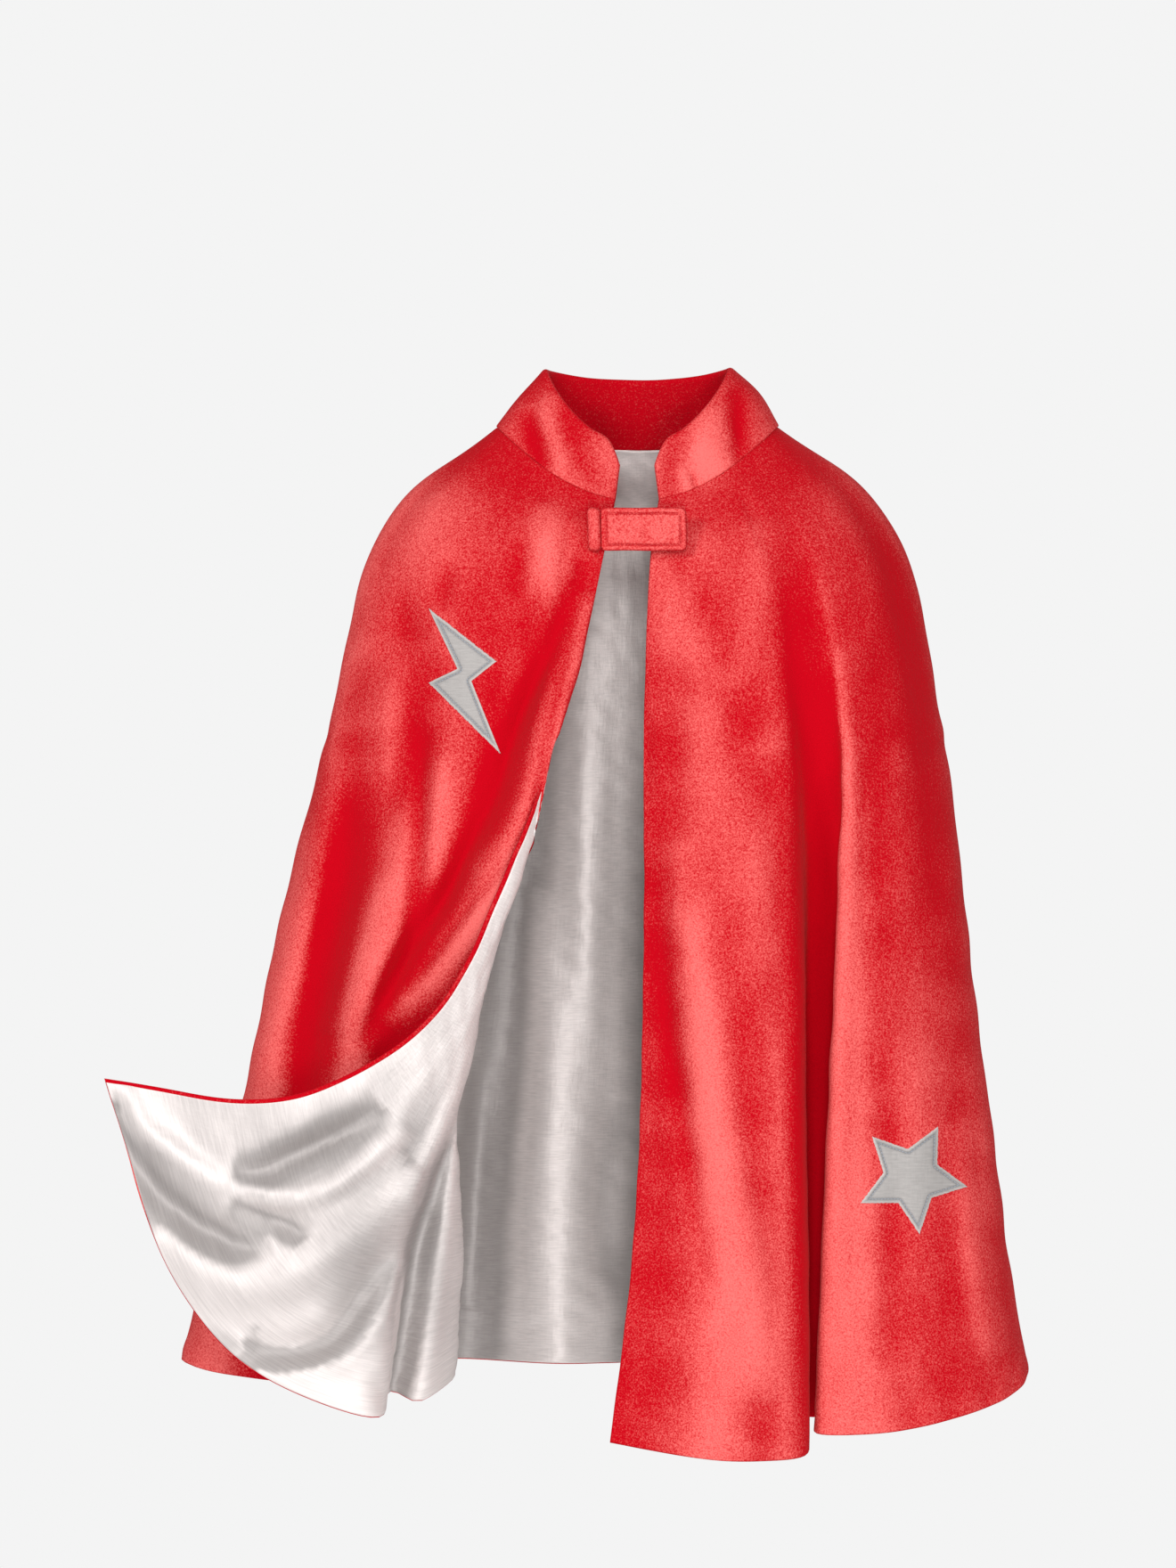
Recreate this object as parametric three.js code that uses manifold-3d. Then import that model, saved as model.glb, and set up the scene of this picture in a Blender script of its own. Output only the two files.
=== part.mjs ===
// A child's superhero cape as it hangs: plush velour shell, satin lining, stand collar,
// a hook-and-loop tab at the throat, a lightning applique and a star applique.
// The right front is thrown back so that its lining shows. Right and left are the wearer's.
//
// Frame: millimetres, +Z up, the wearer faces -Y and the wearer's left is +X.
// The origin is the middle of the neck opening, level with the nape seam.
import * as THREE from "three";
import { mergeVertices } from "three/addons/utils/BufferGeometryUtils.js";
import Module from "manifold-3d";

const wasm = await Module();
wasm.setup();

// ---- Driving dimensions ----
const BODY_LENGTH = 740; // nape seam to the lowest point of the hem
const SHOULDER_WIDTH = 374; // across the cape where it turns down over the shoulders

const SHELL_THICKNESS = 2.0; // plush velour with its pile
const LINING_THICKNESS = 1.0; // satin
const LAYER_GAP = 0.3; // between two layers of cloth that lie on each other

const NECK_HALF_WIDTH = 101;
const NECK_FRONT_DEPTH = 52;
const NECK_BACK_DEPTH = 50;
const NECK_SIDE_RISE = 14; // the neck seam is highest at the sides
const THROAT_DROP = 40; // and lowest at the throat
const THROAT_ANGLE = 9; // degrees from the front centre to each end of the neck seam

const COLLAR_TOP_HALF_WIDTH = 66;
const COLLAR_TOP_FRONT_DEPTH = 44;
const COLLAR_TOP_BACK_DEPTH = 36;
const COLLAR_SIDE_TOP = 58; // height of the collar's top edge at the sides
const COLLAR_NAPE_TOP = 51;
const COLLAR_THROAT_TOP = 2;
const COLLAR_CORNER = 14; // rounding of its two front corners, in degrees of the neck
const COLLAR_CLOTH = 1.8; // velour on each face of the collar
const COLLAR_SEAT = 1.6; // from the neck line up to the collar's lower edge
const COLLAR_STIFFENER = 0.9;

const TAB_LENGTH = 62; // the strap, from its hinge line to its free end
const TAB_HEIGHT = 31;
const TAB_CORNER = 4;
const TAB_LEVEL = -61; // height of the tab's middle
const TAB_HINGE_X = -26;
const TAB_FACE = 1.8;
const TAB_STIFFENER = 0.6;
const TAB_BACKING = 1.0;
const ANCHOR_WIDTH = 9; // the end of the strap that is sewn to the right front

const FASTENER_LENGTH = 20; // hook patch and loop patch
const FASTENER_HEIGHT = 23;
const FASTENER_THICKNESS = 0.9;
const FASTENER_MARGIN = 3; // from the strap's free end to the patches

const APPLIQUE_THICKNESS = 0.8;
const STITCH_WIDTH = 0.9;
const STITCH_HEIGHT = 0.4;
const STITCH_INSET = 3; // from an edge to the line of stitches along it

const STAR_RADIUS = 42;
const STAR_NOTCH_RADIUS = 21;
const STAR_TURN = 62; // degrees from +X to its first point
const STAR_PLACE = [200, -534]; // x and z of its middle, as drawn
const BOLT_PLACE = [-126, -172];
const BOLT_WIDTH = 53;
const BOLT_HEIGHT = 107;

const SKIRT_CUT_DROP = 230; // depth below the origin where a front's swinging part starts, at its seam

// ---- The drape ----
// The fold lines below are drawn for a cape 740 mm long and 374 mm across the shoulders.
const DRAWN_LENGTH = 740;
const DRAWN_WIDTH = 374;
const CURVE_STEPS = 2; // facets from one fold line to the next
const DROP_STEPS = 3; // facets from one station to the next
const ALONG = BODY_LENGTH / DRAWN_LENGTH;
const ACROSS = SHOULDER_WIDTH / DRAWN_WIDTH;

const rad = THREE.MathUtils.degToRad;
const lerp = THREE.MathUtils.lerp;

// A point of the neck seam, by its angle from the front centre towards the wearer's left.
function neckPoint(angle) {
  const c = Math.cos(rad(angle));
  const depth = c > 0 ? NECK_FRONT_DEPTH : NECK_BACK_DEPTH;
  const drop = c > 0 ? NECK_SIDE_RISE + THROAT_DROP : NECK_SIDE_RISE;
  return new THREE.Vector3(
    NECK_HALF_WIDTH * Math.sin(rad(angle)),
    -depth * c,
    NECK_SIDE_RISE - drop * c * c,
  );
}

// Each fold line runs from the neck seam to the hem: its angle on the neck, then its
// place [x, y, z] at the yoke, chest, waist, thigh, knee and hem.
const RIGHT_FRONT = [
  { line: "front edge", neck: 351, at: [[-23, -66, -72], [-50, -96, -189], [-94, -126, -307],
    [-152, -136, -417], [-257, -138, -474], [-388, -112, -461]] },
  { line: "edge roll", neck: 347, at: [[-30, -68, -73], [-54, -98, -190], [-84, -119, -312],
    [-143, -132, -424], [-250, -136, -512], [-375, -118, -502]] },
  { line: "flap outer", neck: 343, at: [[-37, -69, -74], [-59, -99, -191], [-86, -112, -315],
    [-134, -127, -430], [-237, -138, -552], [-345, -122, -591]] },
  { line: "flap middle", neck: 338, at: [[-46, -70, -74], [-64, -99, -192], [-91, -110, -317],
    [-126, -121, -435], [-212, -130, -584], [-289, -126, -666]] },
  { line: "flap crest", neck: 333, at: [[-54, -70, -74], [-69, -98, -193], [-97, -110, -319],
    [-121, -114, -440], [-176, -130, -592], [-192, -134, -707]] },
  { line: "flap groove", neck: 328, at: [[-63, -70, -74], [-74, -95, -194], [-104, -110, -321],
    [-120, -106, -443], [-160, -92, -586], [-179, -86, -690]] },
  { line: "pleat", neck: 323, at: [[-72, -69, -75], [-80, -91, -195], [-113, -108, -323],
    [-126, -98, -446], [-143, -98, -582], [-160, -98, -697]] },
  { line: "pleat turn", neck: 317, at: [[-83, -68, -75], [-88, -88, -196], [-124, -102, -326],
    [-139, -91, -448], [-129, -70, -580], [-134, -62, -680]] },
  { line: "band groove", neck: 308, at: [[-104, -65, -75], [-106, -84, -199], [-139, -92, -330],
    [-182, -74, -456], [-160, -46, -588], [-166, -38, -688]] },
  { line: "chest crest", neck: 298, at: [[-134, -58, -74], [-140, -76, -200], [-176, -84, -331],
    [-212, -78, -460], [-216, -58, -590], [-228, -50, -688]] },
  { line: "arm groove", neck: 288, at: [[-160, -44, -73], [-172, -54, -200], [-206, -50, -331],
    [-240, -46, -460], [-254, -40, -590], [-270, -32, -684]] },
  { line: "arm crest", neck: 279, at: [[-178, -25, -72], [-205, -38, -200], [-238, -40, -330],
    [-268, -38, -460], [-294, -34, -590], [-312, -30, -678]] },
];
const SEAM_SHARES = [0, 0.276, 0.552, 0.824, 1]; // where the seams' stations lie from chest to hem
const straightSeam = (chest, hem) =>
  SEAM_SHARES.map((share) => chest.map((value, k) => lerp(value, hem[k], share)));
const RIGHT_SEAM = {
  line: "right side seam",
  neck: 270,
  at: [[-188, 0, -68], ...straightSeam([-222, 0, -200], [-333, 0, -671])],
};
const LEFT_SEAM = {
  line: "left side seam",
  neck: 90,
  at: [[189, 0, -66], ...straightSeam([220, 0, -200], [285, 0, -677])],
};
const LEFT_FRONT = [
  { line: "arm crest", neck: 80, at: [[175, -28, -70], [208, -40, -200], [228, -46, -331],
    [244, -50, -461], [258, -52, -592], [268, -50, -698]] },
  { line: "front crest", neck: 70, at: [[156, -50, -73], [178, -70, -200], [184, -80, -331],
    [188, -86, -462], [190, -88, -594], [190, -86, -719]] },
  { line: "crest turn", neck: 59, at: [[132, -62, -75], [154, -80, -200], [150, -88, -332],
    [144, -92, -463], [138, -92, -595], [132, -88, -721]] },
  { line: "groove, outer side", neck: 52, at: [[116, -66, -75], [142, -76, -200], [146, -56, -331],
    [143, -42, -461], [140, -36, -590], [137, -34, -712]] },
  { line: "groove, inner side", neck: 46, at: [[101, -69, -75], [122, -76, -200], [126, -54, -331],
    [122, -42, -461], [120, -36, -590], [116, -34, -712]] },
  { line: "roll turn", neck: 38, at: [[80, -71, -75], [98, -88, -201], [110, -94, -333],
    [116, -97, -465], [119, -98, -598], [121, -94, -736]] },
  { line: "roll crest", neck: 24, at: [[45, -69, -75], [48, -86, -202], [50, -96, -334],
    [54, -106, -467], [58, -114, -600], [60, -116, -739]] },
  { line: "front edge", neck: 9, at: [[10, -65, -76], [5, -70, -202], [5, -76, -334],
    [3, -82, -466], [-4, -88, -598], [-20, -92, -727]] },
];

// The back hangs in even folds between the side seams.
const BACK_FOLDS = 8;
const BACK_DEPTH = [66, 76, 82, 87, 91, 94];
const BACK_FOLD_DEPTH = [2, 7, 12, 16, 20, 24];
const BACK_HEM_DROP = 22;
function backLine(i) {
  const share = i / (BACK_FOLDS + 1);
  const bow = Math.sin(Math.PI * share);
  const side = i % 2 ? 1 : -1;
  const at = RIGHT_SEAM.at.map((r, k) => {
    const l = LEFT_SEAM.at[k];
    const drop = k === RIGHT_SEAM.at.length - 1 ? BACK_HEM_DROP * bow : 0;
    return [
      lerp(r[0], l[0], share),
      BACK_DEPTH[k] * bow ** 0.55 + side * BACK_FOLD_DEPTH[k] * bow ** 0.3,
      lerp(r[2], l[2], share) - drop,
    ];
  });
  return { line: `back fold ${i}`, neck: lerp(RIGHT_SEAM.neck, LEFT_SEAM.neck, share), at };
}

const foldLines = [
  ...RIGHT_FRONT,
  RIGHT_SEAM,
  ...Array.from({ length: BACK_FOLDS }, (_, i) => backLine(i + 1)),
  LEFT_SEAM,
  ...LEFT_FRONT,
];
const RIGHT_SEAM_U = RIGHT_FRONT.length;
const LEFT_SEAM_U = RIGHT_SEAM_U + BACK_FOLDS + 1;
const LAST_U = foldLines.length - 1;
const LAST_V = RIGHT_SEAM.at.length;

const drawnToReal = ([x, y, z]) => new THREE.Vector3(x * ACROSS, y * ACROSS, z * ALONG);
const columns = foldLines.map(
  ({ neck, at }) =>
    new THREE.CatmullRomCurve3([neckPoint(neck), ...at.map(drawnToReal)], false, "centripetal"),
);

// A front's skirt swings about its side seam, so its top edge lies in a plane square to that
// line. The row of facets that ends there is drawn to that plane on every fold line.
const SKIRT_ROW = 2 + 1 / DROP_STEPS;
function swingAxis(seam) {
  const [chest, hem] = [drawnToReal(seam.at[1]), drawnToReal(seam.at.at(-1))];
  const direction = hem.clone().sub(chest).normalize();
  const share = (-SKIRT_CUT_DROP * ALONG - chest.z) / (hem.z - chest.z);
  return { direction, top: chest.lerp(hem, share) };
}
const rightAxis = swingAxis(RIGHT_SEAM);
const leftAxis = swingAxis(LEFT_SEAM);
const axisOf = (u) => (u <= RIGHT_SEAM_U ? rightAxis : leftAxis);

function stationAtSkirt(column, { direction, top }) {
  let [low, high] = [2, 3];
  for (let i = 0; i < 30; i++) {
    const middle = (low + high) / 2;
    const beyond = column.getPoint(middle / LAST_V).sub(top).dot(direction);
    if (beyond < 0) low = middle;
    else high = middle;
  }
  return low;
}
const skirtStations = columns.map((column, u) =>
  u > RIGHT_SEAM_U && u < LEFT_SEAM_U ? SKIRT_ROW : stationAtSkirt(column, axisOf(u)),
);
function columnPoint(u, v) {
  const { mapLinear } = THREE.MathUtils;
  const cut = skirtStations[u];
  let station = v;
  if (v > 2 && v <= SKIRT_ROW) station = mapLinear(v, 2, SKIRT_ROW, 2, cut);
  if (v > SKIRT_ROW && v < 3) station = mapLinear(v, SKIRT_ROW, 3, cut, 3);
  return columns[u].getPoint(station / LAST_V);
}

// The middle of the cloth: u counts fold lines from the right front edge round the back to
// the left front edge, and v counts stations from the neck seam to the hem.
const rowCurves = new Map();
function rowCurve(v) {
  if (!rowCurves.has(v)) {
    const points = columns.map((_, u) => columnPoint(u, v));
    rowCurves.set(v, new THREE.CatmullRomCurve3(points, false, "centripetal"));
  }
  return rowCurves.get(v);
}
const clothPoint = (u, v) => rowCurve(v).getPoint(u / LAST_U);

// The cloth's place, outward normal and direction of rising u. It faces straight sideways at
// its side seams, and at the skirts' top edge the normal lies in the plane of that edge.
function clothFrame(u, v) {
  const step = 0.02;
  const [u0, u1] = [Math.max(u - step, 0), Math.min(u + step, LAST_U)];
  const [v0, v1] = [Math.max(v - step, 0), Math.min(v + step, LAST_V)];
  const across = clothPoint(u1, v).sub(clothPoint(u0, v)).normalize();
  if (u === RIGHT_SEAM_U) across.set(0, 1, 0);
  if (u === LEFT_SEAM_U) across.set(0, -1, 0);
  const down = clothPoint(u, v1).sub(clothPoint(u, v0)).normalize();
  const normal = across.clone().cross(down).normalize();
  if (v === SKIRT_ROW && (u <= RIGHT_SEAM_U || u >= LEFT_SEAM_U)) {
    normal.projectOnPlane(axisOf(u).direction).normalize();
  }
  return { point: clothPoint(u, v), normal, across };
}

// ---- Solids ----
// A closed sheet from two grids of points, rows by columns, the second on the first's far side.
function sheetGeometry(front, back) {
  const rows = front.length;
  const cols = front[0].length;
  const positions = [...front.flat(), ...back.flat()].flatMap((p) => [p.x, p.y, p.z]);
  const at = (side, r, c) => side * rows * cols + r * cols + c;
  const index = [];
  const quad = (a, b, c, d) => index.push(a, b, c, a, c, d);
  for (let r = 0; r + 1 < rows; r++) {
    for (let c = 0; c + 1 < cols; c++) {
      quad(at(0, r, c), at(0, r + 1, c), at(0, r + 1, c + 1), at(0, r, c + 1));
      quad(at(1, r, c), at(1, r, c + 1), at(1, r + 1, c + 1), at(1, r + 1, c));
    }
    const end = cols - 1;
    quad(at(0, r, 0), at(1, r, 0), at(1, r + 1, 0), at(0, r + 1, 0));
    quad(at(0, r, end), at(0, r + 1, end), at(1, r + 1, end), at(1, r, end));
  }
  for (let c = 0; c + 1 < cols; c++) {
    const end = rows - 1;
    quad(at(0, 0, c), at(0, 0, c + 1), at(1, 0, c + 1), at(1, 0, c));
    quad(at(0, end, c), at(1, end, c), at(1, end, c + 1), at(0, end, c + 1));
  }
  const geometry = new THREE.BufferGeometry();
  geometry.setAttribute("position", new THREE.Float32BufferAttribute(positions, 3));
  geometry.setIndex(index);
  return geometry;
}

// Numbers from first to last, with so many steps between whole numbers.
function stepsBetween(first, last, perUnit) {
  const count = Math.round(Math.abs(last - first) * perUnit);
  return Array.from({ length: count + 1 }, (_, i) => lerp(first, last, i / count));
}

// A layer of cloth between two offsets from the middle. A seam at either end in u, and the
// edge between a yoke and its skirt, is held back by half a gap, so that neighbouring pieces
// meet face to face.
function layer(us, vs, inner, outer) {
  const held = (i, list, last) => (i === 0 && list[0] > 0) - (i === list.length - 1 && list[i] < last);
  const grid = (offset) =>
    vs.map((v, r) =>
      us.map((u, c) => {
        const { point, normal, across } = clothFrame(u, v);
        return point
          .addScaledVector(normal, offset)
          .addScaledVector(across, (held(c, us, LAST_U) * LAYER_GAP) / 2)
          .addScaledVector(axisOf(u).direction, (held(r, vs, LAST_V) * LAYER_GAP) / 2);
      }),
    );
  return sheetGeometry(grid(inner), grid(outer));
}

function toSolid(geometry) {
  const bare = new THREE.BufferGeometry();
  bare.setAttribute("position", geometry.getAttribute("position"));
  bare.setIndex(geometry.getIndex());
  const merged = mergeVertices(bare, 1e-4);
  return new wasm.Manifold(
    new wasm.Mesh({
      numProp: 3,
      vertProperties: merged.attributes.position.array,
      triVerts: new Uint32Array(merged.index.array),
    }),
  );
}

function toGeometry(solid) {
  const { numProp, vertProperties, triVerts } = solid.getMesh();
  const positions = [];
  for (let i = 0; i < vertProperties.length; i += numProp) {
    positions.push(...vertProperties.subarray(i, i + 3));
  }
  const geometry = new THREE.BufferGeometry();
  geometry.setAttribute("position", new THREE.Float32BufferAttribute(positions, 3));
  geometry.setIndex([...triVerts]);
  return geometry;
}

// A plate of an outline drawn in x and z, from y = near towards the wearer.
function plate(shape, near, thickness) {
  const geometry = new THREE.ExtrudeGeometry(shape, {
    depth: thickness,
    bevelEnabled: false,
    curveSegments: 4,
  });
  return geometry.rotateX(Math.PI / 2).translate(0, near + thickness, 0);
}

function outline(points) {
  return new THREE.Shape(points.map(([x, z]) => new THREE.Vector2(x, z)));
}

// The same outline drawn a little smaller, each side moved inwards by the same distance.
function inset(points, distance) {
  const n = points.length;
  const turn = Math.sign(THREE.ShapeUtils.area(points.map(([x, z]) => new THREE.Vector2(x, z))));
  return points.map((p, i) => {
    const side = (a, b) => {
      const d = new THREE.Vector2(b[0] - a[0], b[1] - a[1]).normalize();
      return new THREE.Vector2(-d.y * turn, d.x * turn);
    };
    const before = side(points[(i + n - 1) % n], p);
    const after = side(p, points[(i + 1) % n]);
    const sum = before.clone().add(after);
    const move = sum.multiplyScalar(distance / (1 + before.dot(after)));
    return [p[0] + move.x, p[1] + move.y];
  });
}

function rounded(x0, x1, middle, height, radius) {
  const [z0, z1] = [middle - height / 2, middle + height / 2];
  const shape = new THREE.Shape();
  shape.moveTo(x0 + radius, z0).lineTo(x1 - radius, z0);
  shape.absarc(x1 - radius, z0 + radius, radius, -Math.PI / 2, 0, false);
  shape.absarc(x1 - radius, z1 - radius, radius, 0, Math.PI / 2, false);
  shape.absarc(x0 + radius, z1 - radius, radius, Math.PI / 2, Math.PI, false);
  shape.absarc(x0 + radius, z0 + radius, radius, Math.PI, 1.5 * Math.PI, false);
  return shape;
}

// ---- Materials ----
const velour = new THREE.MeshStandardMaterial({ color: 0xd8202e, roughness: 0.9 });
const satin = new THREE.MeshStandardMaterial({ color: 0xc9c2bf, roughness: 0.4, metalness: 0.5 });
const interlining = new THREE.MeshStandardMaterial({ color: 0xe9e6df, roughness: 0.95 });
const hookTape = new THREE.MeshStandardMaterial({ color: 0xb01824, roughness: 0.7 });
const thread = new THREE.MeshStandardMaterial({ color: 0xaeb2b4, roughness: 0.5 });
const redThread = new THREE.MeshStandardMaterial({ color: 0xa81422, roughness: 0.6 });

const cape = new THREE.Group();
cape.name = "superhero_cape";
function add(name, geometry, material) {
  const mesh = new THREE.Mesh(geometry, material);
  mesh.name = name;
  cape.add(mesh);
}

// ---- Shell and lining ----
const SHELL = [LAYER_GAP / 2, LAYER_GAP / 2 + SHELL_THICKNESS];
const LINING = [-LAYER_GAP / 2 - LINING_THICKNESS, -LAYER_GAP / 2];
const ROWS = stepsBetween(0, LAST_V, DROP_STEPS);
const YOKE_ROWS = stepsBetween(0, SKIRT_ROW, DROP_STEPS);
const SKIRT_ROWS = stepsBetween(SKIRT_ROW, LAST_V, DROP_STEPS);
const PANELS = {
  right: stepsBetween(0, RIGHT_SEAM_U, CURVE_STEPS),
  back: stepsBetween(RIGHT_SEAM_U, LEFT_SEAM_U, CURVE_STEPS),
  left: stepsBetween(LEFT_SEAM_U, LAST_U, CURVE_STEPS),
};

function addBody() {
  for (const [cloth, [inner, outer], material] of [
    ["shell", SHELL, velour],
    ["lining", LINING, satin],
  ]) {
    add(`${cloth}_back`, layer(PANELS.back, ROWS, inner, outer), material);
    for (const side of ["right", "left"]) {
      add(`${cloth}_${side}_yoke`, layer(PANELS[side], YOKE_ROWS, inner, outer), material);
      add(`${cloth}_${side}_skirt`, layer(PANELS[side], SKIRT_ROWS, inner, outer), material);
    }
  }
}

// ---- Collar ----
// A point of the collar's middle, by its angle round the neck and its share of the height.
function collarPoint(angle, share) {
  const c = Math.cos(rad(angle));
  const depth = c > 0 ? COLLAR_TOP_FRONT_DEPTH : COLLAR_TOP_BACK_DEPTH;
  const low = c > 0 ? COLLAR_THROAT_TOP : COLLAR_NAPE_TOP;
  const top = new THREE.Vector3(
    COLLAR_TOP_HALF_WIDTH * Math.sin(rad(angle)),
    -depth * c,
    COLLAR_SIDE_TOP - (COLLAR_SIDE_TOP - low) * Math.abs(c) ** 1.6,
  );
  const fromEnd = Math.min(angle - THROAT_ANGLE, 360 - THROAT_ANGLE - angle);
  const short = THREE.MathUtils.clamp(1 - fromEnd / COLLAR_CORNER, 0, 1);
  const height = 1 - 0.4 * (1 - Math.sqrt(1 - short * short));
  const base = neckPoint(angle);
  const lift = COLLAR_SEAT / base.distanceTo(top);
  return base.lerp(top, lerp(lift, height, share));
}

function collarLayer(inner, outer) {
  const angles = stepsBetween(THROAT_ANGLE, 360 - THROAT_ANGLE, 36 / (360 - 2 * THROAT_ANGLE));
  const shares = stepsBetween(1, 0, 4);
  const step = 0.5;
  const grid = (offset) =>
    shares.map((share) =>
      angles.map((angle) => {
        const around = collarPoint(angle + step, share).sub(collarPoint(angle - step, share));
        const down = collarPoint(angle, 0).sub(collarPoint(angle, 1));
        const normal = down.cross(around).normalize();
        return collarPoint(angle, share).addScaledVector(normal, offset);
      }),
    );
  return sheetGeometry(grid(outer), grid(inner));
}

function addCollar() {
  const core = COLLAR_STIFFENER / 2;
  const face = core + LAYER_GAP;
  add("collar_interlining", collarLayer(-core, core), interlining);
  add("collar_outer", collarLayer(face, face + COLLAR_CLOTH), velour);
  add("collar_inner", collarLayer(-face - COLLAR_CLOTH, -face), velour);
}

// ---- Appliques and patches that lie on the shell ----
const ON_SHELL = SHELL[1] + LAYER_GAP;

// The part of a layer that an outline, seen from the front, cuts out of it.
function cutFromLayer(shape, us, vs, inner, outer) {
  const cutter = toSolid(plate(shape, -2 * NECK_HALF_WIDTH, 2 * NECK_HALF_WIDTH));
  return toGeometry(toSolid(layer(us, vs, inner, outer)).intersect(cutter));
}

function addApplique(name, points, us, vs) {
  const top = ON_SHELL + APPLIQUE_THICKNESS;
  add(`${name}_applique`, cutFromLayer(outline(points), us, vs, ON_SHELL, top), satin);
  const ring = outline(inset(points, STITCH_INSET));
  ring.holes.push(outline(inset(points, STITCH_INSET + STITCH_WIDTH)));
  const seat = top + LAYER_GAP;
  add(`${name}_stitching`, cutFromLayer(ring, us, vs, seat, seat + STITCH_HEIGHT), thread);
}

const place = ([x, z], [px, pz]) => [x + px * ACROSS, z + pz * ALONG];

function starPoints() {
  return Array.from({ length: 10 }, (_, i) => {
    const angle = rad(STAR_TURN + 36 * i);
    const radius = i % 2 ? STAR_NOTCH_RADIUS : STAR_RADIUS;
    return place([radius * Math.cos(angle), radius * Math.sin(angle)], STAR_PLACE);
  });
}

function boltPoints() {
  const [w, h] = [BOLT_WIDTH / 2, BOLT_HEIGHT / 2];
  return [
    [-w, h],
    [-0.2 * w, 0.17 * h],
    [-w, -0.02 * h],
    [w, -h],
    [0.19 * w, 0],
    [0.88 * w, 0.27 * h],
  ].map((p) => place(p, BOLT_PLACE));
}

// ---- Tab ----
// The furthest that the shell's outside comes forward under the tab and a little round it.
function frontOfShell(us, x0, x1) {
  const [low, high] = [TAB_LEVEL - 0.55 * TAB_HEIGHT, TAB_LEVEL + 0.55 * TAB_HEIGHT];
  let front = 0;
  for (const u of us) {
    for (const v of stepsBetween(0, 2, 12)) {
      const { point, normal } = clothFrame(u, v);
      const p = point.addScaledVector(normal, SHELL[1]);
      if (p.x >= x0 && p.x <= x1 && p.z >= low && p.z <= high) front = Math.min(front, p.y);
    }
  }
  return front;
}

function addTab() {
  const end = TAB_HINGE_X + TAB_LENGTH;
  const anchorStart = TAB_HINGE_X - LAYER_GAP - ANCHOR_WIDTH;
  const nearThroat = [...stepsBetween(0, 4, 4), ...stepsBetween(LAST_U - 3, LAST_U, 6)];
  const shellFront = frontOfShell(nearThroat, anchorStart, end);
  const patchEnd = end - FASTENER_MARGIN;
  const patch = rounded(patchEnd - FASTENER_LENGTH, patchEnd, TAB_LEVEL, FASTENER_HEIGHT, 1);
  const loopSeat = [ON_SHELL, ON_SHELL + FASTENER_THICKNESS];
  const loopUs = stepsBetween(LAST_U - 2, LAST_U, CURVE_STEPS);
  const loopVs = stepsBetween(0, 2, DROP_STEPS);
  add("loop_patch", cutFromLayer(patch, loopUs, loopVs, ...loopSeat), hookTape);

  let near = shellFront - 2 * LAYER_GAP - FASTENER_THICKNESS; // front of the loop patch
  const stack = (name, shape, thickness, material) => {
    near -= LAYER_GAP + thickness;
    add(name, plate(shape, near, thickness), material);
  };
  const strap = rounded(TAB_HINGE_X, end, TAB_LEVEL, TAB_HEIGHT, TAB_CORNER);
  const edge = STITCH_INSET;
  const core = rounded(TAB_HINGE_X + edge, end - edge, TAB_LEVEL, TAB_HEIGHT - 2 * edge, 2);
  stack("tab_hook_patch", patch, FASTENER_THICKNESS, hookTape);
  stack("tab_backing", strap, TAB_BACKING, velour);
  stack("tab_interlining", core, TAB_STIFFENER, interlining);
  stack("tab_face", strap, TAB_FACE, velour);
  const strapFront = near;
  const within = edge + STITCH_WIDTH;
  const ring = rounded(TAB_HINGE_X + edge, end - edge, TAB_LEVEL, TAB_HEIGHT - 2 * edge, TAB_CORNER - 1);
  ring.holes.push(
    rounded(TAB_HINGE_X + within, end - within, TAB_LEVEL, TAB_HEIGHT - 2 * within, TAB_CORNER - 2),
  );
  stack("tab_topstitching", ring, STITCH_HEIGHT, redThread);

  // The anchor block's back is cut to the shell that it is sewn to.
  const anchor = rounded(anchorStart, TAB_HINGE_X - LAYER_GAP, TAB_LEVEL, TAB_HEIGHT, 3);
  const block = toSolid(plate(anchor, strapFront, NECK_FRONT_DEPTH / 2));
  const anchorUs = stepsBetween(0, 4, CURVE_STEPS);
  const behind = layer(anchorUs, stepsBetween(0, 2, DROP_STEPS), -NECK_FRONT_DEPTH, ON_SHELL);
  add("tab_anchor", toGeometry(block.subtract(toSolid(behind))), velour);
}

addBody();
addCollar();
addApplique(
  "star",
  starPoints(),
  stepsBetween(LEFT_SEAM_U + 0.5, LEFT_SEAM_U + 3, CURVE_STEPS),
  stepsBetween(3, 6, DROP_STEPS),
);
addApplique(
  "bolt",
  boltPoints(),
  stepsBetween(RIGHT_SEAM_U - 6, RIGHT_SEAM_U - 1, CURVE_STEPS),
  stepsBetween(1, 4, DROP_STEPS),
);
addTab();

export default cape;
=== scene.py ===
"""Builds the looks of a child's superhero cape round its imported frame: plush velour outside,
metallic satin inside, a padded stand collar, a hook-and-loop throat tab and two appliques."""

import math

import bmesh
import bpy
import numpy as np
from mathutils import Matrix, Vector
from mathutils.bvhtree import BVHTree


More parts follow.
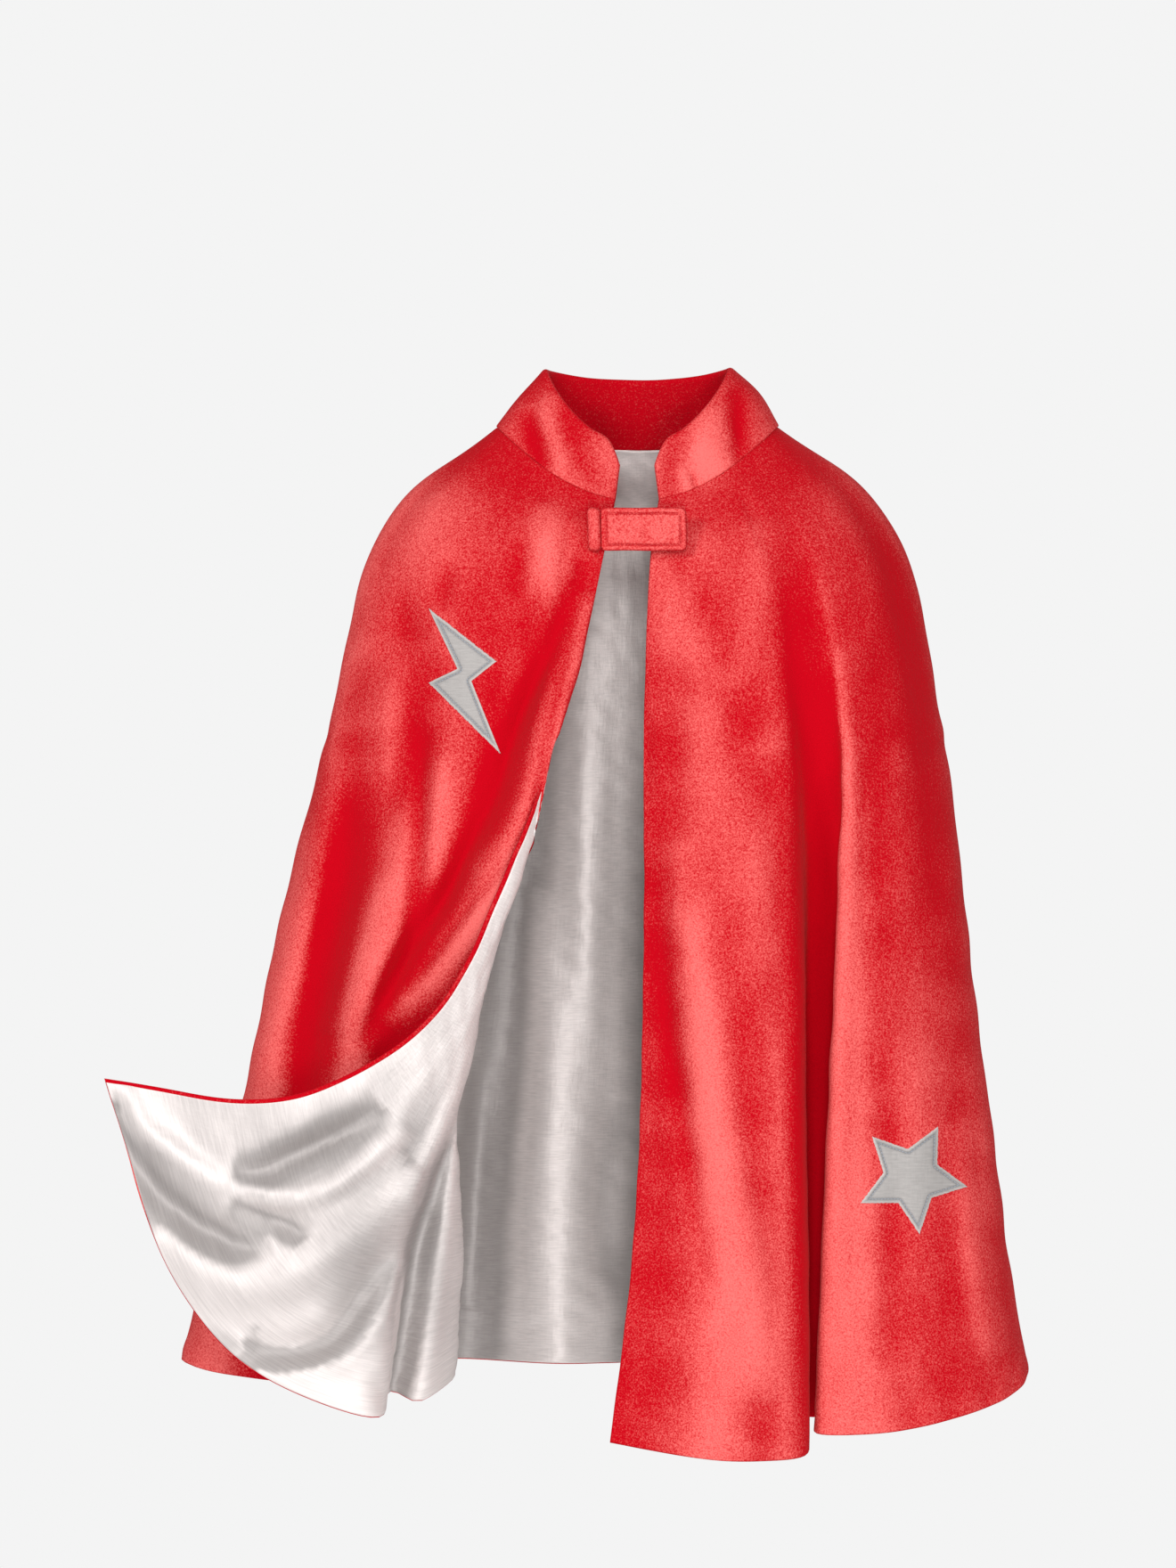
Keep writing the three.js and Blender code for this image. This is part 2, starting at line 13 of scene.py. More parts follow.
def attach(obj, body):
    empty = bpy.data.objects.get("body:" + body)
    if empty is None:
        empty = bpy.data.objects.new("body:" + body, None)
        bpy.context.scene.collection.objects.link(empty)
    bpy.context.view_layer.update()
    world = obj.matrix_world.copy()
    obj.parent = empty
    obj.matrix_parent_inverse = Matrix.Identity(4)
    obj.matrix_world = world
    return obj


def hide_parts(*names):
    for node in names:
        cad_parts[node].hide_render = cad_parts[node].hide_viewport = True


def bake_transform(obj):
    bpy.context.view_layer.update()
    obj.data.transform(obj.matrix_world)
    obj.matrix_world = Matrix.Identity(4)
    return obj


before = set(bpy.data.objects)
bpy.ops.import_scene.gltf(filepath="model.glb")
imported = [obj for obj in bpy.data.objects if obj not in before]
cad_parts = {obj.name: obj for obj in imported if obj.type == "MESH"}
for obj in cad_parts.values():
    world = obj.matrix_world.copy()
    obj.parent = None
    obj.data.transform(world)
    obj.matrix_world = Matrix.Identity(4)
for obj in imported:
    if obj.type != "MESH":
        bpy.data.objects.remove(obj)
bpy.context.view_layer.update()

bl_info = {
    "name": "Superhero Cape",
    "version": (1, 0, 0),
    "blender": (4, 5, 0),
    "location": "View3D > Sidebar > Cape",
    "description": "Makes a plush, satin-lined dress-up cape from its packed frame",
    "category": "Object",
}

MM = 0.001
FINE = 3.2 * MM  # spacing of the corners of the finished cloth
DENSE = 1.5 * MM  # spacing of the first survey of the drape

# ---- Colours ----


def rgb(code, alpha=1.0):
    """Linear colour of an sRGB hex code."""
    parts = [int(code[i : i + 2], 16) / 255 for i in (0, 2, 4)]
    linear = [c / 12.92 if c <= 0.04045 else ((c + 0.055) / 1.055) ** 2.4 for c in parts]
    return (*linear, alpha)


# ---- Cloth surfaces ----


def welded(name):
    """A bmesh of a CAD node's solid with its loose triangles joined."""
    bm = bmesh.new()
    bm.from_mesh(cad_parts[name].data)
    bmesh.ops.remove_doubles(bm, verts=bm.verts, dist=0.005 * MM)
    return bm


def edge_walk(start, first, corners):
    """Corners of a sheet's edge from start, by way of first, to the next of its four corners."""
    path = [start, first]
    while path[-1] not in corners:
        here, before = path[-1], path[-2]
        steps = (e.other_vert(here) for e in here.link_edges if e.is_boundary)
        path.append(next(v for v in steps if v is not before))
    return path


def cloth_rows(name, against, first_is_left):
    """Rows of points, from neck to hem, of the face of a CAD layer that lies on its neighbour.

    A row starts at the side that is further left in the picture plane if first_is_left says so.
    """
    reach = 0.7 * MM
    neighbour = BVHTree.FromBMesh(welded(against))
    bm = welded(name)
    away = []
    for face in bm.faces:
        _, facing, _, gap = neighbour.find_nearest(face.calc_center_median())
        if gap > reach or facing.dot(face.normal) > -0.5:
            away.append(face)
    bmesh.ops.delete(bm, geom=away, context="FACES")
    corners = [v for v in bm.verts if v.is_boundary and len(v.link_edges) <= 3]
    if len(corners) != 4:
        raise RuntimeError(f"{name}: its face has {len(corners)} corners")
    top = sorted(corners, key=lambda v: -v.co.z)[:2]
    top.sort(key=lambda v: v.co.x if first_is_left else -v.co.x)
    start, end = top
    starts = [e.other_vert(start) for e in start.link_edges if e.is_boundary]
    walks = [edge_walk(start, v, corners) for v in starts]
    walks.sort(key=lambda walk: walk[-1] is not end)
    rows = [walks[0]]
    near = {v: {e.other_vert(v) for e in v.link_edges} for v in bm.verts}
    for below in walks[1][1:]:
        above = rows[-1]
        row = [below]
        for left, right in zip(above, above[1:]):
            row.append(next(iter((near[row[-1]] & near[right]) - {left})))
        rows.append(row)
    points = np.array([[v.co[:] for v in row] for row in rows])
    bm.free()
    return points


def joined(a, b, axis):
    """Two grids of points joined where the last line of a is the first line of b."""
    a, b = np.moveaxis(a, axis, 0), np.moveaxis(b, axis, 0)
    seam = (a[-1:] + b[:1]) / 2
    return np.moveaxis(np.concatenate([a[:-1], seam, b[1:]]), 0, axis)


def spline_weights(knots, where):
    """The matrix that turns values at knots into a natural cubic spline's values at where."""
    n = len(knots)
    h = np.diff(knots)
    left, right = np.eye(n), np.zeros((n, n))
    for i in range(1, n - 1):
        left[i, i - 1 : i + 2] = h[i - 1], 2 * (h[i - 1] + h[i]), h[i]
        right[i, i - 1 : i + 2] = 6 / h[i - 1], -6 / h[i - 1] - 6 / h[i], 6 / h[i]
    bend = np.linalg.solve(left, right)
    k = np.clip(np.searchsorted(knots, where) - 1, 0, n - 2)
    b = (where - knots[k]) / h[k]
    a = 1 - b
    weights = ((a**3 - a) * h[k] ** 2 / 6)[:, None] * bend[k]
    weights += ((b**3 - b) * h[k] ** 2 / 6)[:, None] * bend[k + 1]
    rows = np.arange(len(where))
    weights[rows, k] += a
    weights[rows, k + 1] += b
    return weights


def chords(points, axis):
    """Mean distance along a grid's axis from its first line to each line."""
    steps = np.linalg.norm(np.diff(points, axis=axis), axis=2).mean(axis=1 - axis)
    return np.concatenate([[0], np.cumsum(steps)])


def even(knots, breaks, spacing):
    """Evenly spaced places between the given knots, and the index of each of those knots."""
    places, marks = [], [0]
    for a, b in zip(breaks, breaks[1:]):
        count = max(2, round((knots[b] - knots[a]) / spacing))
        places.append(np.linspace(knots[a], knots[b], count + 1)[:-1])
        marks.append(marks[-1] + count)
    places.append([knots[breaks[-1]]])
    return np.concatenate(places), marks


def normals_of(points):
    """Unit normals of a grid of points, on the side that across x down gives."""
    across, down = np.gradient(points, axis=1), np.gradient(points, axis=0)
    normal = np.cross(across, down)
    return normal / np.linalg.norm(normal, axis=2, keepdims=True)


def ripples(u, v, length, count, seed, lean=(0.0, math.pi)):
    """Smooth uneven waves about one unit high, with wavelengths near length, u and v in metres."""
    rng = np.random.default_rng(seed)
    total = np.zeros_like(u)
    for _ in range(count):
        angle = rng.uniform(*lean)
        wave = 2 * math.pi / (length * rng.uniform(0.7, 1.5))
        total += np.sin(wave * (u * math.cos(angle) + v * math.sin(angle)) + rng.uniform(0, 6.28))
    return total / math.sqrt(count)


def smoothstep(x, low, high):
    """0 below low and 1 above high, with a smooth rise between."""
    t = np.clip((x - low) / (high - low), 0, 1)
    return t * t * (3 - 2 * t)


def crease(points, path, width):
    """How near each point is, seen from the front, to a line through path: 1 on it, 0 well away."""
    knots = np.array(path, float) * MM
    along = np.concatenate([[0], np.cumsum(np.linalg.norm(np.diff(knots, axis=0), axis=1))])
    fine = spline_weights(along, np.linspace(0, along[-1], 60)) @ knots
    flat = points[..., [0, 2]]
    best = np.full(flat.shape[:-1], 1e9)
    ends = np.sin(np.linspace(0, math.pi, 60)) ** 0.5
    strength = np.zeros_like(best)
    for place, full in zip(fine, ends):
        gap = np.linalg.norm(flat - place, axis=-1)
        closer = gap < best
        best = np.where(closer, gap, best)
        strength = np.where(closer, full, strength)
    return np.exp(-((best / (width * MM)) ** 2)) * strength


# Folds and hollows worked into the drape: zone, width and height towards the viewer in mm, and
# the fold's line as (x, z) points in mm. Zones are the cloth as the front view shows it.
FOLDS = (
    (
        "right", 14, -6,
        (
            (-202, -151), (-210, -203), (-214, -269), (-222, -334), (-243, -400), (-263, -465),
        ),
    ),
    (
        "right", 14, 6,
        (
            (-165, -138), (-178, -184), (-183, -252), (-191, -302), (-204, -367), (-220, -433),
        ),
    ),
    ("right", 8, -6, ((-155, -203), (-157, -269), (-161, -318), (-170, -367), (-188, -410))),
    ("right", 9, 3, ((-142, -223), (-145, -269), (-152, -321))),
    (
        "right", 9, -10,
        (
            (-37, -82), (-50, -115), (-66, -157), (-86, -203), (-99, -246), (-116, -285),
            (-138, -328), (-165, -367), (-197, -426), (-217, -462),
        ),
    ),
    (
        "right", 12, 7,
        (
            (-34, -105), (-43, -157), (-66, -220), (-89, -285), (-112, -334), (-145, -380),
            (-181, -426),
        ),
    ),
    ("right", 5, -3.5, ((-99, -308), (-132, -351), (-168, -400))),
    ("right", 12, 3, ((-66, -40), (-70, -72), (-76, -112))),
    ("right", 7, -2, ((-83, -66), (-86, -85), (-93, -112))),
    ("right", 8, -2.5, ((-135, -82), (-140, -102), (-143, -121))),
    ("left", 15, 6, ((26, -286), (39, -374), (53, -467), (72, -560), (86, -630), (91, -699))),
    ("left", 8, -3, ((12, -305), (19, -397), (35, -490), (53, -630))),
    ("left", 16, -5, ((100, -221), (109, -351), (111, -444))),
    ("left", 10, 4, ((146, -142), (151, -258), (146, -374), (144, -490), (142, -630))),
    ("left", 14, -3, ((183, -444), (188, -560), (183, -676))),
    ("left", 12, 4, ((237, -490), (248, -583), (262, -667))),
    ("left", 14, -3, ((21, -72), (49, -110), (63, -165))),
    ("left", 16, 3, ((91, -54), (86, -119), (67, -179))),
    ("flap", 7, 7.5, ((-374, -463), (-359, -496), (-336, -514), (-314, -530), (-294, -539))),
    (
        "flap", 12, -13.5,
        (
            (-383, -477), (-370, -514), (-352, -538), (-330, -560), (-308, -574), (-286, -580),
            (-264, -578),
        ),
    ),
    (
        "flap", 10, -13.5,
        (
            (-294, -527), (-275, -529), (-257, -521), (-235, -510), (-210, -498), (-184, -481),
        ),
    ),
    (
        "flap", 8, 7.5,
        (
            (-297, -539), (-275, -545), (-248, -547), (-221, -538), (-193, -518), (-166, -496),
        ),
    ),
    ("flap", 10, -9, ((-294, -549), (-272, -560), (-248, -570), (-239, -578))),
    (
        "flap", 20, 12,
        (
            (-348, -570), (-321, -596), (-286, -611), (-257, -605), (-221, -585), (-184, -552),
            (-159, -523),
        ),
    ),
    (
        "flap", 13, -13.5,
        (
            (-284, -654), (-261, -660), (-239, -658), (-222, -649), (-206, -629), (-184, -596),
            (-160, -552),
        ),
    ),
    ("flap", 9, 6, ((-275, -671), (-239, -671), (-210, -658), (-188, -633), (-173, -600))),
    ("flap", 8, -6, ((-184, -673), (-186, -691), (-184, -705))),
    ("back", 14, 7, ((-72, -325), (-67, -488), (-75, -585), (-72, -666))),
    ("back", 12, -7, ((-117, -455), (-122, -552), (-127, -656))),
    ("back", 12, -7, ((-16, -488), (-28, -572), (-20, -650))),
    ("back", 16, 4, ((-42, -130), (-39, -260), (-36, -422))),
)


# Places where the cloth stands out from the frame's: (x, z), radius and height out, all in mm.
BULGES = (
    (-165, -25, 45, 5.5),
    (160, -15, 45, 6.0),
    (-262, -330, 100, 3.0),
    (262, -430, 100, -4.0),
    (280, -590, 80, -4.0),
)
# Strokes of painted light, some also standing for brushed pile marks: (x, z), half width and half
# height in mm, and how much paler (above 0, painted highlight) or deeper (below 0, painted shade)
# the velour is coloured, as a height that would do the same, in mm.
PILE_MARKS_AND_PAINTED_LIGHT = (
    (30, -110, 50, 80, 2.6),
    (-62, -78, 16, 42, 3.2),
    (46, -14, 18, 20, 4.0),
    (-46, 2, 18, 26, -1.5),
    (50, -420, 16, 200, 1.5),
    (112, -330, 13, 160, -3.5),
    (120, -560, 13, 170, -4.5),
    (85, -640, 40, 60, 1.2),
    (-105, -235, 10, 60, -2.5),
    (-228, -320, 14, 110, -4.5),
    (212, -470, 34, 90, 2.2),
    (176, -534, 26, 60, 1.2),
)
# Painted shade on the lining: places where its colour is made darker than its folds make it, given
# the same way.
PAINTED_LINING_SHADE = (
    (-290, -590, 125, 115, 4.4),
    (-200, -590, 36, 110, 5.0),
    (-150, -590, 22, 130, 5.5),
    (-38, -110, 50, 55, 2.0),
)
# Painted light along the folds' lines, paler on a ridge (painted highlight) and deeper in a valley
# (painted shade): half width, amount as above, and the line's (x, z) points, all in mm.
PAINTED_FOLD_LINES = (
    (
        8, 2.6,
        (
            (-30, -105), (-38, -157), (-58, -220), (-80, -285), (-103, -334), (-138, -380),
            (-181, -422),
        ),
    ),
    (
        9, -4.5,
        (
            (-45, -95), (-60, -125), (-78, -170), (-98, -215), (-113, -255), (-132, -300),
            (-155, -345), (-185, -395), (-205, -440),
        ),
    ),
)
BACK_LIFT = 19 * MM  # how far the middle of the back's hem is drawn up
# Painted light: the cloth is coloured paler where a fold stands out (painted highlight) and deeper
# in its hollows (painted shade).
PAINTED_LIGHT_REACH = 35 * MM  # width over which a fold stands out from the cloth round it
PAINTED_LIGHT_BIAS = 1.2 * MM  # how far a fold must stand out before it is painted paler, as a painted highlight
PAINTED_LIGHT_RANGE = (-5 * MM, 4 * MM)
BEND_LAYER = 1.6 * MM  # thickness of velour or lining that a bend has to leave room for
BEND_REACH = 7  # lines of the survey over which the tightest bend is taken
BEND_SHARE = 0.4  # share of a bend's radius that a layer may fill
LEAST_ROOM = 0.03


def strokes_at(points, strokes):
    """The painted light that a table of oval strokes adds up to at each point, as a height in
    metres.
    """
    total = np.zeros(points.shape[:-1])
    for x, z, half_width, half_height, painted_light in strokes:
        across = (points[..., 0] / MM - x) / half_width
        down = (points[..., 2] / MM - z) / half_height
        total += painted_light * MM * np.exp(-(across**2) - down**2)
    return total


def stroke_shading(points, normals):
    """How much paler each point of the front is painted, in metres: painted highlight above 0 and
    painted shade below 0, from strokes that partly stand for brushed pile marks and from fold
    lines.
    """
    pile = strokes_at(points, PILE_MARKS_AND_PAINTED_LIGHT)
    for width, painted_light, path in PAINTED_FOLD_LINES:
        pile += painted_light * MM * crease(points, path, width)
    return pile * smoothstep(-normals[..., 1], 0.0, 0.3)


def painted_satin_shade(points, normals):
    """How much painted shade darkens the lining at each point that faces forwards, in metres."""
    return strokes_at(points, PAINTED_LINING_SHADE) * smoothstep(normals[..., 1], 0.0, 0.3)


def mean_near(values, count, axis):
    """The mean of a grid's values within count lines either way along an axis."""
    values = np.moveaxis(values, axis, 0)
    ends = [(count, count)] + [(0, 0)] * (values.ndim - 1)
    sums = np.cumsum(np.pad(values, ends, mode="edge"), axis=0)
    sums = np.concatenate([np.zeros_like(sums[:1]), sums])
    width = 2 * count + 1
    return np.moveaxis((sums[width:] - sums[:-width]) / width, 0, axis)


def stands_out(points, normals, reach):
    """How far each point of a survey stands out from the mean within a reach, in metres."""
    mean = mean_near(points, round(reach / DENSE), 1)
    mean = mean_near(mean, round(reach / DENSE / 2), 0)
    return np.sum((points - mean) * normals, axis=2)


def tightest(values, count):
    """The greatest of a grid's values within count lines either way."""
    for axis in (0, 1):
        best = values
        for step in range(1, count + 1):
            for shift in (step, -step):
                best = np.maximum(best, np.roll(values, shift, axis))
        values = best
    return values


def room_to_bend(points, normals, side, thickness):
    """Share of a layer's thickness that the tightest bends near each point leave it, on the
    outward side (1) or the inward side (-1)."""
    bends = []
    for axis in (0, 1):
        p, n = np.moveaxis(points, axis, 0), np.moveaxis(normals, axis, 0)
        second = (p[2:] - 2 * p[1:-1] + p[:-2]) * n[1:-1]
        reach = np.linalg.norm(p[2:] - p[:-2], axis=2) / 2
        bend = side * second.sum(axis=2) / (reach**2 + 1e-9)
        bends.append(np.moveaxis(np.pad(bend, ((1, 1), (0, 0))), 0, axis))
    bend = tightest(np.maximum(np.maximum(*bends), 1e-3), BEND_REACH)
    share = np.clip(BEND_SHARE / (bend * thickness), LEAST_ROOM, 1)
    return mean_near(mean_near(share, 3, 0), 3, 1)


class Drape:
    """The middle of the cape's cloth, surveyed from the frame, with its normals and flat places."""

    def __init__(self):
        sides = {}
        for side in ("right", "left"):
            yoke = cloth_rows(f"shell_{side}_yoke", f"lining_{side}_yoke", False)
            skirt = cloth_rows(f"shell_{side}_skirt", f"lining_{side}_skirt", False)
            sides[side] = joined(yoke, skirt, 0)
        back = cloth_rows("shell_back", "lining_back", True)
        knots = joined(joined(sides["right"], back, 1), sides["left"], 1)
        self.knots = knots
        seams = [sides["right"].shape[1] - 1, sides["right"].shape[1] + back.shape[1] - 2]
        columns, rows = chords(knots, 1), chords(knots, 0)
        u, self.marks = even(columns, [0, *seams, knots.shape[1] - 1], DENSE)
        v, _ = even(rows, [0, knots.shape[0] - 1], DENSE * 2)
        across, down = spline_weights(columns, u), spline_weights(rows, v)
        points = np.einsum("ri,ijk,cj->rck", down, knots, across)
        self.u, self.v = np.meshgrid(u, v)
        normals = normals_of(points)
        relief = self.folds(points, normals)
        height = self.ripple()
        for x, z, radius, out in BULGES:
            far = np.hypot(points[..., 0] / MM - x, points[..., 2] / MM - z) / radius
            height += out * MM * np.exp(-(far**2))
        points = points + normals * height[..., None]
        points[..., 1] -= relief
        low, high = (self.u[0, self.marks[k]] for k in (1, 2))
        across = np.clip((self.u - low) / (high - low), 0, 1)
        points[..., 2] += BACK_LIFT * np.sin(across * math.pi) ** 0.6 * (self.v / self.v.max()) ** 2
        self.points, self.normals = points, normals_of(points)
        # painted light: paler where the cloth stands out from the cloth round it, deeper in its
        # hollows
        self.painted_light = np.clip(stands_out(points, self.normals, PAINTED_LIGHT_REACH) - PAINTED_LIGHT_BIAS, *PAINTED_LIGHT_RANGE)
        self.rooms = [room_to_bend(points, self.normals, side, BEND_LAYER) for side in (1, -1)]

    def ripple(self):
        """Height of the soft unevenness of hung cloth, in metres."""
        low = smoothstep(self.v, 0.02, 0.2)
        back = np.zeros_like(self.u)
        back[:, self.marks[1] : self.marks[2]] = 1
        calm = 1 - 0.5 * back
        height = 0.5 * MM * ripples(self.u, self.v, 0.06, 12, 3)
        height += 0.6 * MM * ripples(self.u, self.v * 0.25, 0.07, 10, 8, (-0.25, 0.25))
        hem = smoothstep(self.v, self.v.max() - 0.03, self.v.max() - 0.008)
        return height * low * calm + 0.4 * MM * hem * ripples(self.u, self.v, 0.022, 8, 17)

    def folds(self, points, normals):
        """Height towards the viewer of the folds that are finer than the frame's, in metres."""
        edges = [self.u[0, mark] for mark in self.marks]
        spans = {"right": (0, 1), "flap": (0, 1), "back": (1, 2), "left": (2, 3)}
        total = np.zeros_like(self.u)
        for zone, width, height, path in FOLDS:
            low, high = (edges[k] for k in spans[zone])
            inside = smoothstep(self.u, low, low + 0.004) * smoothstep(high - self.u, 0, 0.03)
            if zone == "back":
                inside = inside * smoothstep(self.u, low, low + 0.03)
            facing = normals[..., 1] if zone in ("flap", "back") else -normals[..., 1]
            weight = inside * smoothstep(facing, 0.05, 0.35)
            total += height * MM * crease(points, path, width) * weight
        return total

    def panel(self, name):
        """A panel's points, normals, flat places, painted light and room to bend out and in."""
        first, last = {"right": (0, 1), "back": (1, 2), "left": (2, 3)}[name]
        cut = slice(self.marks[first], self.marks[last] + 1)
        facts = (self.u, self.v, self.painted_light, *self.rooms)
        flat = np.stack([fact[:, cut] for fact in facts], axis=-1)
        return np.concatenate([self.points[:, cut], self.normals[:, cut], flat], axis=-1)


def lengths(grid, axis):
    """Distance along a grid's axis of each of its points from the first line."""
    points = np.moveaxis(grid[..., :3], axis, 0)
    steps = np.linalg.norm(np.diff(points, axis=0), axis=2)
    run = np.concatenate([np.zeros_like(steps[:1]), np.cumsum(steps, axis=0)])
    return np.moveaxis(run, 0, axis)


def respaced(grid, axis, near, far, spacing):
    """The same surface with lines at the distances near and far from its two edges on an axis,
    and even lines between. The distance from each edge is added to every point's values."""
    run = lengths(grid, axis)
    grid, run = np.moveaxis(grid, axis, 1), np.moveaxis(run, axis, 1)
    middle = run[:, -1].mean() - near[-1] - far[-1]
    share = np.linspace(0, 1, max(4, round(middle / spacing)) + 1)[1:-1]
    made = []
    for line, at in zip(grid, run):
        inner = near[-1] + share * (at[-1] - near[-1] - far[-1])
        where = np.concatenate([near, inner, at[-1] - np.array(far)[::-1]])
        values = [np.interp(where, at, line[:, k]) for k in range(line.shape[1])]
        made.append(np.stack([*values, where, at[-1] - where], axis=-1))
    return np.moveaxis(np.array(made), 1, axis)


def round_edge(distance, radius, least=0.0):
    """Share of a layer's full height at a distance from its edge, which is round."""
    t = 1 - np.clip(distance / radius, 0, 1)
    return least + (1 - least) * np.sqrt(1 - t * t)


def cloth_object(name, outer, inner, material, flat=None, closed=False, marks=None):
    """A closed layer of cloth between two grids of points.

    flat gives each point's place on the flat cloth for its UV map, which is else its place seen
    from the front. A closed grid goes round a patch, from its outline in to its middle. marks
    holds a number for each point by name, for a material to read.
    """
    rows, cols = outer.shape[:2]
    bm = bmesh.new()
    cloth = bm.loops.layers.uv.new("cloth")
    layers = {key: bm.verts.layers.float.new(key) for key in marks or {}}
    rims = []
    for skin in (outer, inner):
        before = len(bm.faces)
        made = bmesh.ops.create_grid(bm, x_segments=cols - 1, y_segments=rows - 1, size=1.0)
        for v in made["verts"]:
            c, r = round((v.co.x + 1) / 2 * (cols - 1)), round((v.co.y + 1) / 2 * (rows - 1))
            v.co = skin[r, c]
            for key, layer in layers.items():
                v[layer] = marks[key][r, c]
            place = (v.co.x, v.co.z) if flat is None else flat[r, c]
            for loop in v.link_loops:
                loop[cloth].uv = place
        bm.faces.ensure_lookup_table()
        faces = bm.faces[before:]
        if skin is inner:
            bmesh.ops.reverse_faces(bm, faces=faces)
        if closed:
            bmesh.ops.remove_doubles(bm, verts=made["verts"], dist=0.002 * MM)
            bm.faces.ensure_lookup_table()
        rims.append([e for f in bm.faces[before:] for e in f.edges if e.is_boundary])
    bmesh.ops.bridge_loops(bm, edges=rims[0] + rims[1])
    for f in bm.faces:
        f.smooth = True
    mesh = bpy.data.meshes.new(name)
    bm.to_mesh(mesh)
    bm.free()
    return placed(name, mesh, material)


def placed(name, mesh, material):
    """A new object of a mesh with its material, linked to the scene."""
    obj = bpy.data.objects.new(name, mesh)
    bpy.context.scene.collection.objects.link(obj)
    mesh.materials.append(material)
    return obj


# ---- Materials ----


def add_node(tree, kind, settings=None, inputs=None):
    """A shader node with its settings, and its inputs set or linked."""
    made = tree.nodes.new(kind)
    for key, value in (settings or {}).items():
        setattr(made, key, value)
    for key, value in (inputs or {}).items():
        if isinstance(value, bpy.types.NodeSocket):
            tree.links.new(value, made.inputs[key])
        else:
            made.inputs[key].default_value = value
    return made


def new_material(name, shader):
    """A material with one Principled shader, and that shader's tree."""
    material = bpy.data.materials.new(name)
    material.use_nodes = True
    tree = material.node_tree
    tree.nodes.clear()
    principled = add_node(tree, "ShaderNodeBsdfPrincipled", None, shader)
    output = add_node(tree, "ShaderNodeOutputMaterial")
    tree.links.new(principled.outputs[0], output.inputs["Surface"])
    return material, tree, principled


# Sizes of the patterns in mm. Real pile is finer than a tuft: it is drawn as coarse as it shows.
PATCH, STROKE, TUFT = 71.43, 13.33, 1.25
WEFT_STREAK, CRUMPLE = (9.09, 1.25), (3.03, 14.3)  # widths along the weft and the warp


def per(size):
    """The noise scale of a pattern whose features are a size in mm."""
    return 1 / (size * MM)


def plush_velour(settings):
    """Knitted polyester velour, its short pile brushed every way by handling into random strokes,
    patches and tufts. Its colour also holds painted light: painted highlight and painted shade
    after its painted_light attribute, and painted shade where the cloth turns away from the eye."""
    shader = {
        "Roughness": 0.9,
        "Specular IOR Level": 0.04,
        "Sheen Weight": 0.1,
        "Sheen Roughness": 0.5,
        "Sheen Tint": rgb("FFA8A0"),
    }
    material, tree, principled = new_material("plush_velour", shader)
    at = add_node(tree, "ShaderNodeTexCoord").outputs["Object"]
    drawn = add_node(
        tree, "ShaderNodeMapping", None, {"Vector": at, "Scale": (1.0, 1.0, 0.4)}
    ).outputs[0]
    patches = add_node(
        tree, "ShaderNodeTexNoise", None,
        {"Vector": drawn, "Scale": per(PATCH), "Detail": 3.0, "Roughness": 0.5},
    )
    strokes = add_node(
        tree, "ShaderNodeTexNoise", None,
        {"Vector": drawn, "Scale": per(STROKE), "Detail": 4.0, "Roughness": 0.6, "Distortion": 0.3},
    )
    tufts = add_node(
        tree, "ShaderNodeTexNoise", None,
        {"Vector": at, "Scale": per(TUFT), "Detail": 2.0, "Roughness": 0.6},
    )
    slant = add_node(tree, "ShaderNodeLayerWeight", None, {"Blend": 0.4}).outputs["Facing"]
    painted_light = add_node(tree, "ShaderNodeAttribute", {"attribute_name": "painted_light"}).outputs["Fac"]
    # Painted light: slant gives painted shade where the cloth turns away from the eye; the
    # painted_light attribute gives painted highlights and painted shade. The noises are random pile
    # marks.
    total = 0.0
    for source, share in (
        (slant, -0.5),
        (painted_light, 130.0),
        (patches.outputs["Fac"], 0.45),
        (strokes.outputs["Fac"], 0.3),
        (tufts.outputs["Fac"], 1.9),
    ):
        total = add_node(
            tree, "ShaderNodeMath", {"operation": "MULTIPLY_ADD"}, {0: source, 1: share, 2: total}
        ).outputs[0]
    pale = add_node(
        tree, "ShaderNodeMapRange", {"interpolation_type": "SMOOTHSTEP"},
        {"Value": total, "From Min": 1.0, "From Max": 2.25},
    )
    ramp = add_node(tree, "ShaderNodeValToRGB", None, {"Fac": pale.outputs[0]})
    ramp.color_ramp.elements[0].color = settings.velour_deep[:]
    ramp.color_ramp.elements[1].color = settings.velour_light[:]
    tree.links.new(ramp.outputs["Color"], principled.inputs["Base Color"])
    bump = add_node(
        tree, "ShaderNodeBump", None,
        {"Strength": 0.8, "Distance": 0.8 * MM, "Height": tufts.outputs["Fac"]},
    )
    stroke_shading = add_node(
        tree, "ShaderNodeBump", None,
        {
            "Strength": 0.5,
            "Distance": 1.2 * MM,
            "Height": strokes.outputs["Fac"],
            "Normal": bump.outputs["Normal"],
        },
    )
    tree.links.new(stroke_shading.outputs["Normal"], principled.inputs["Normal"])
    return material


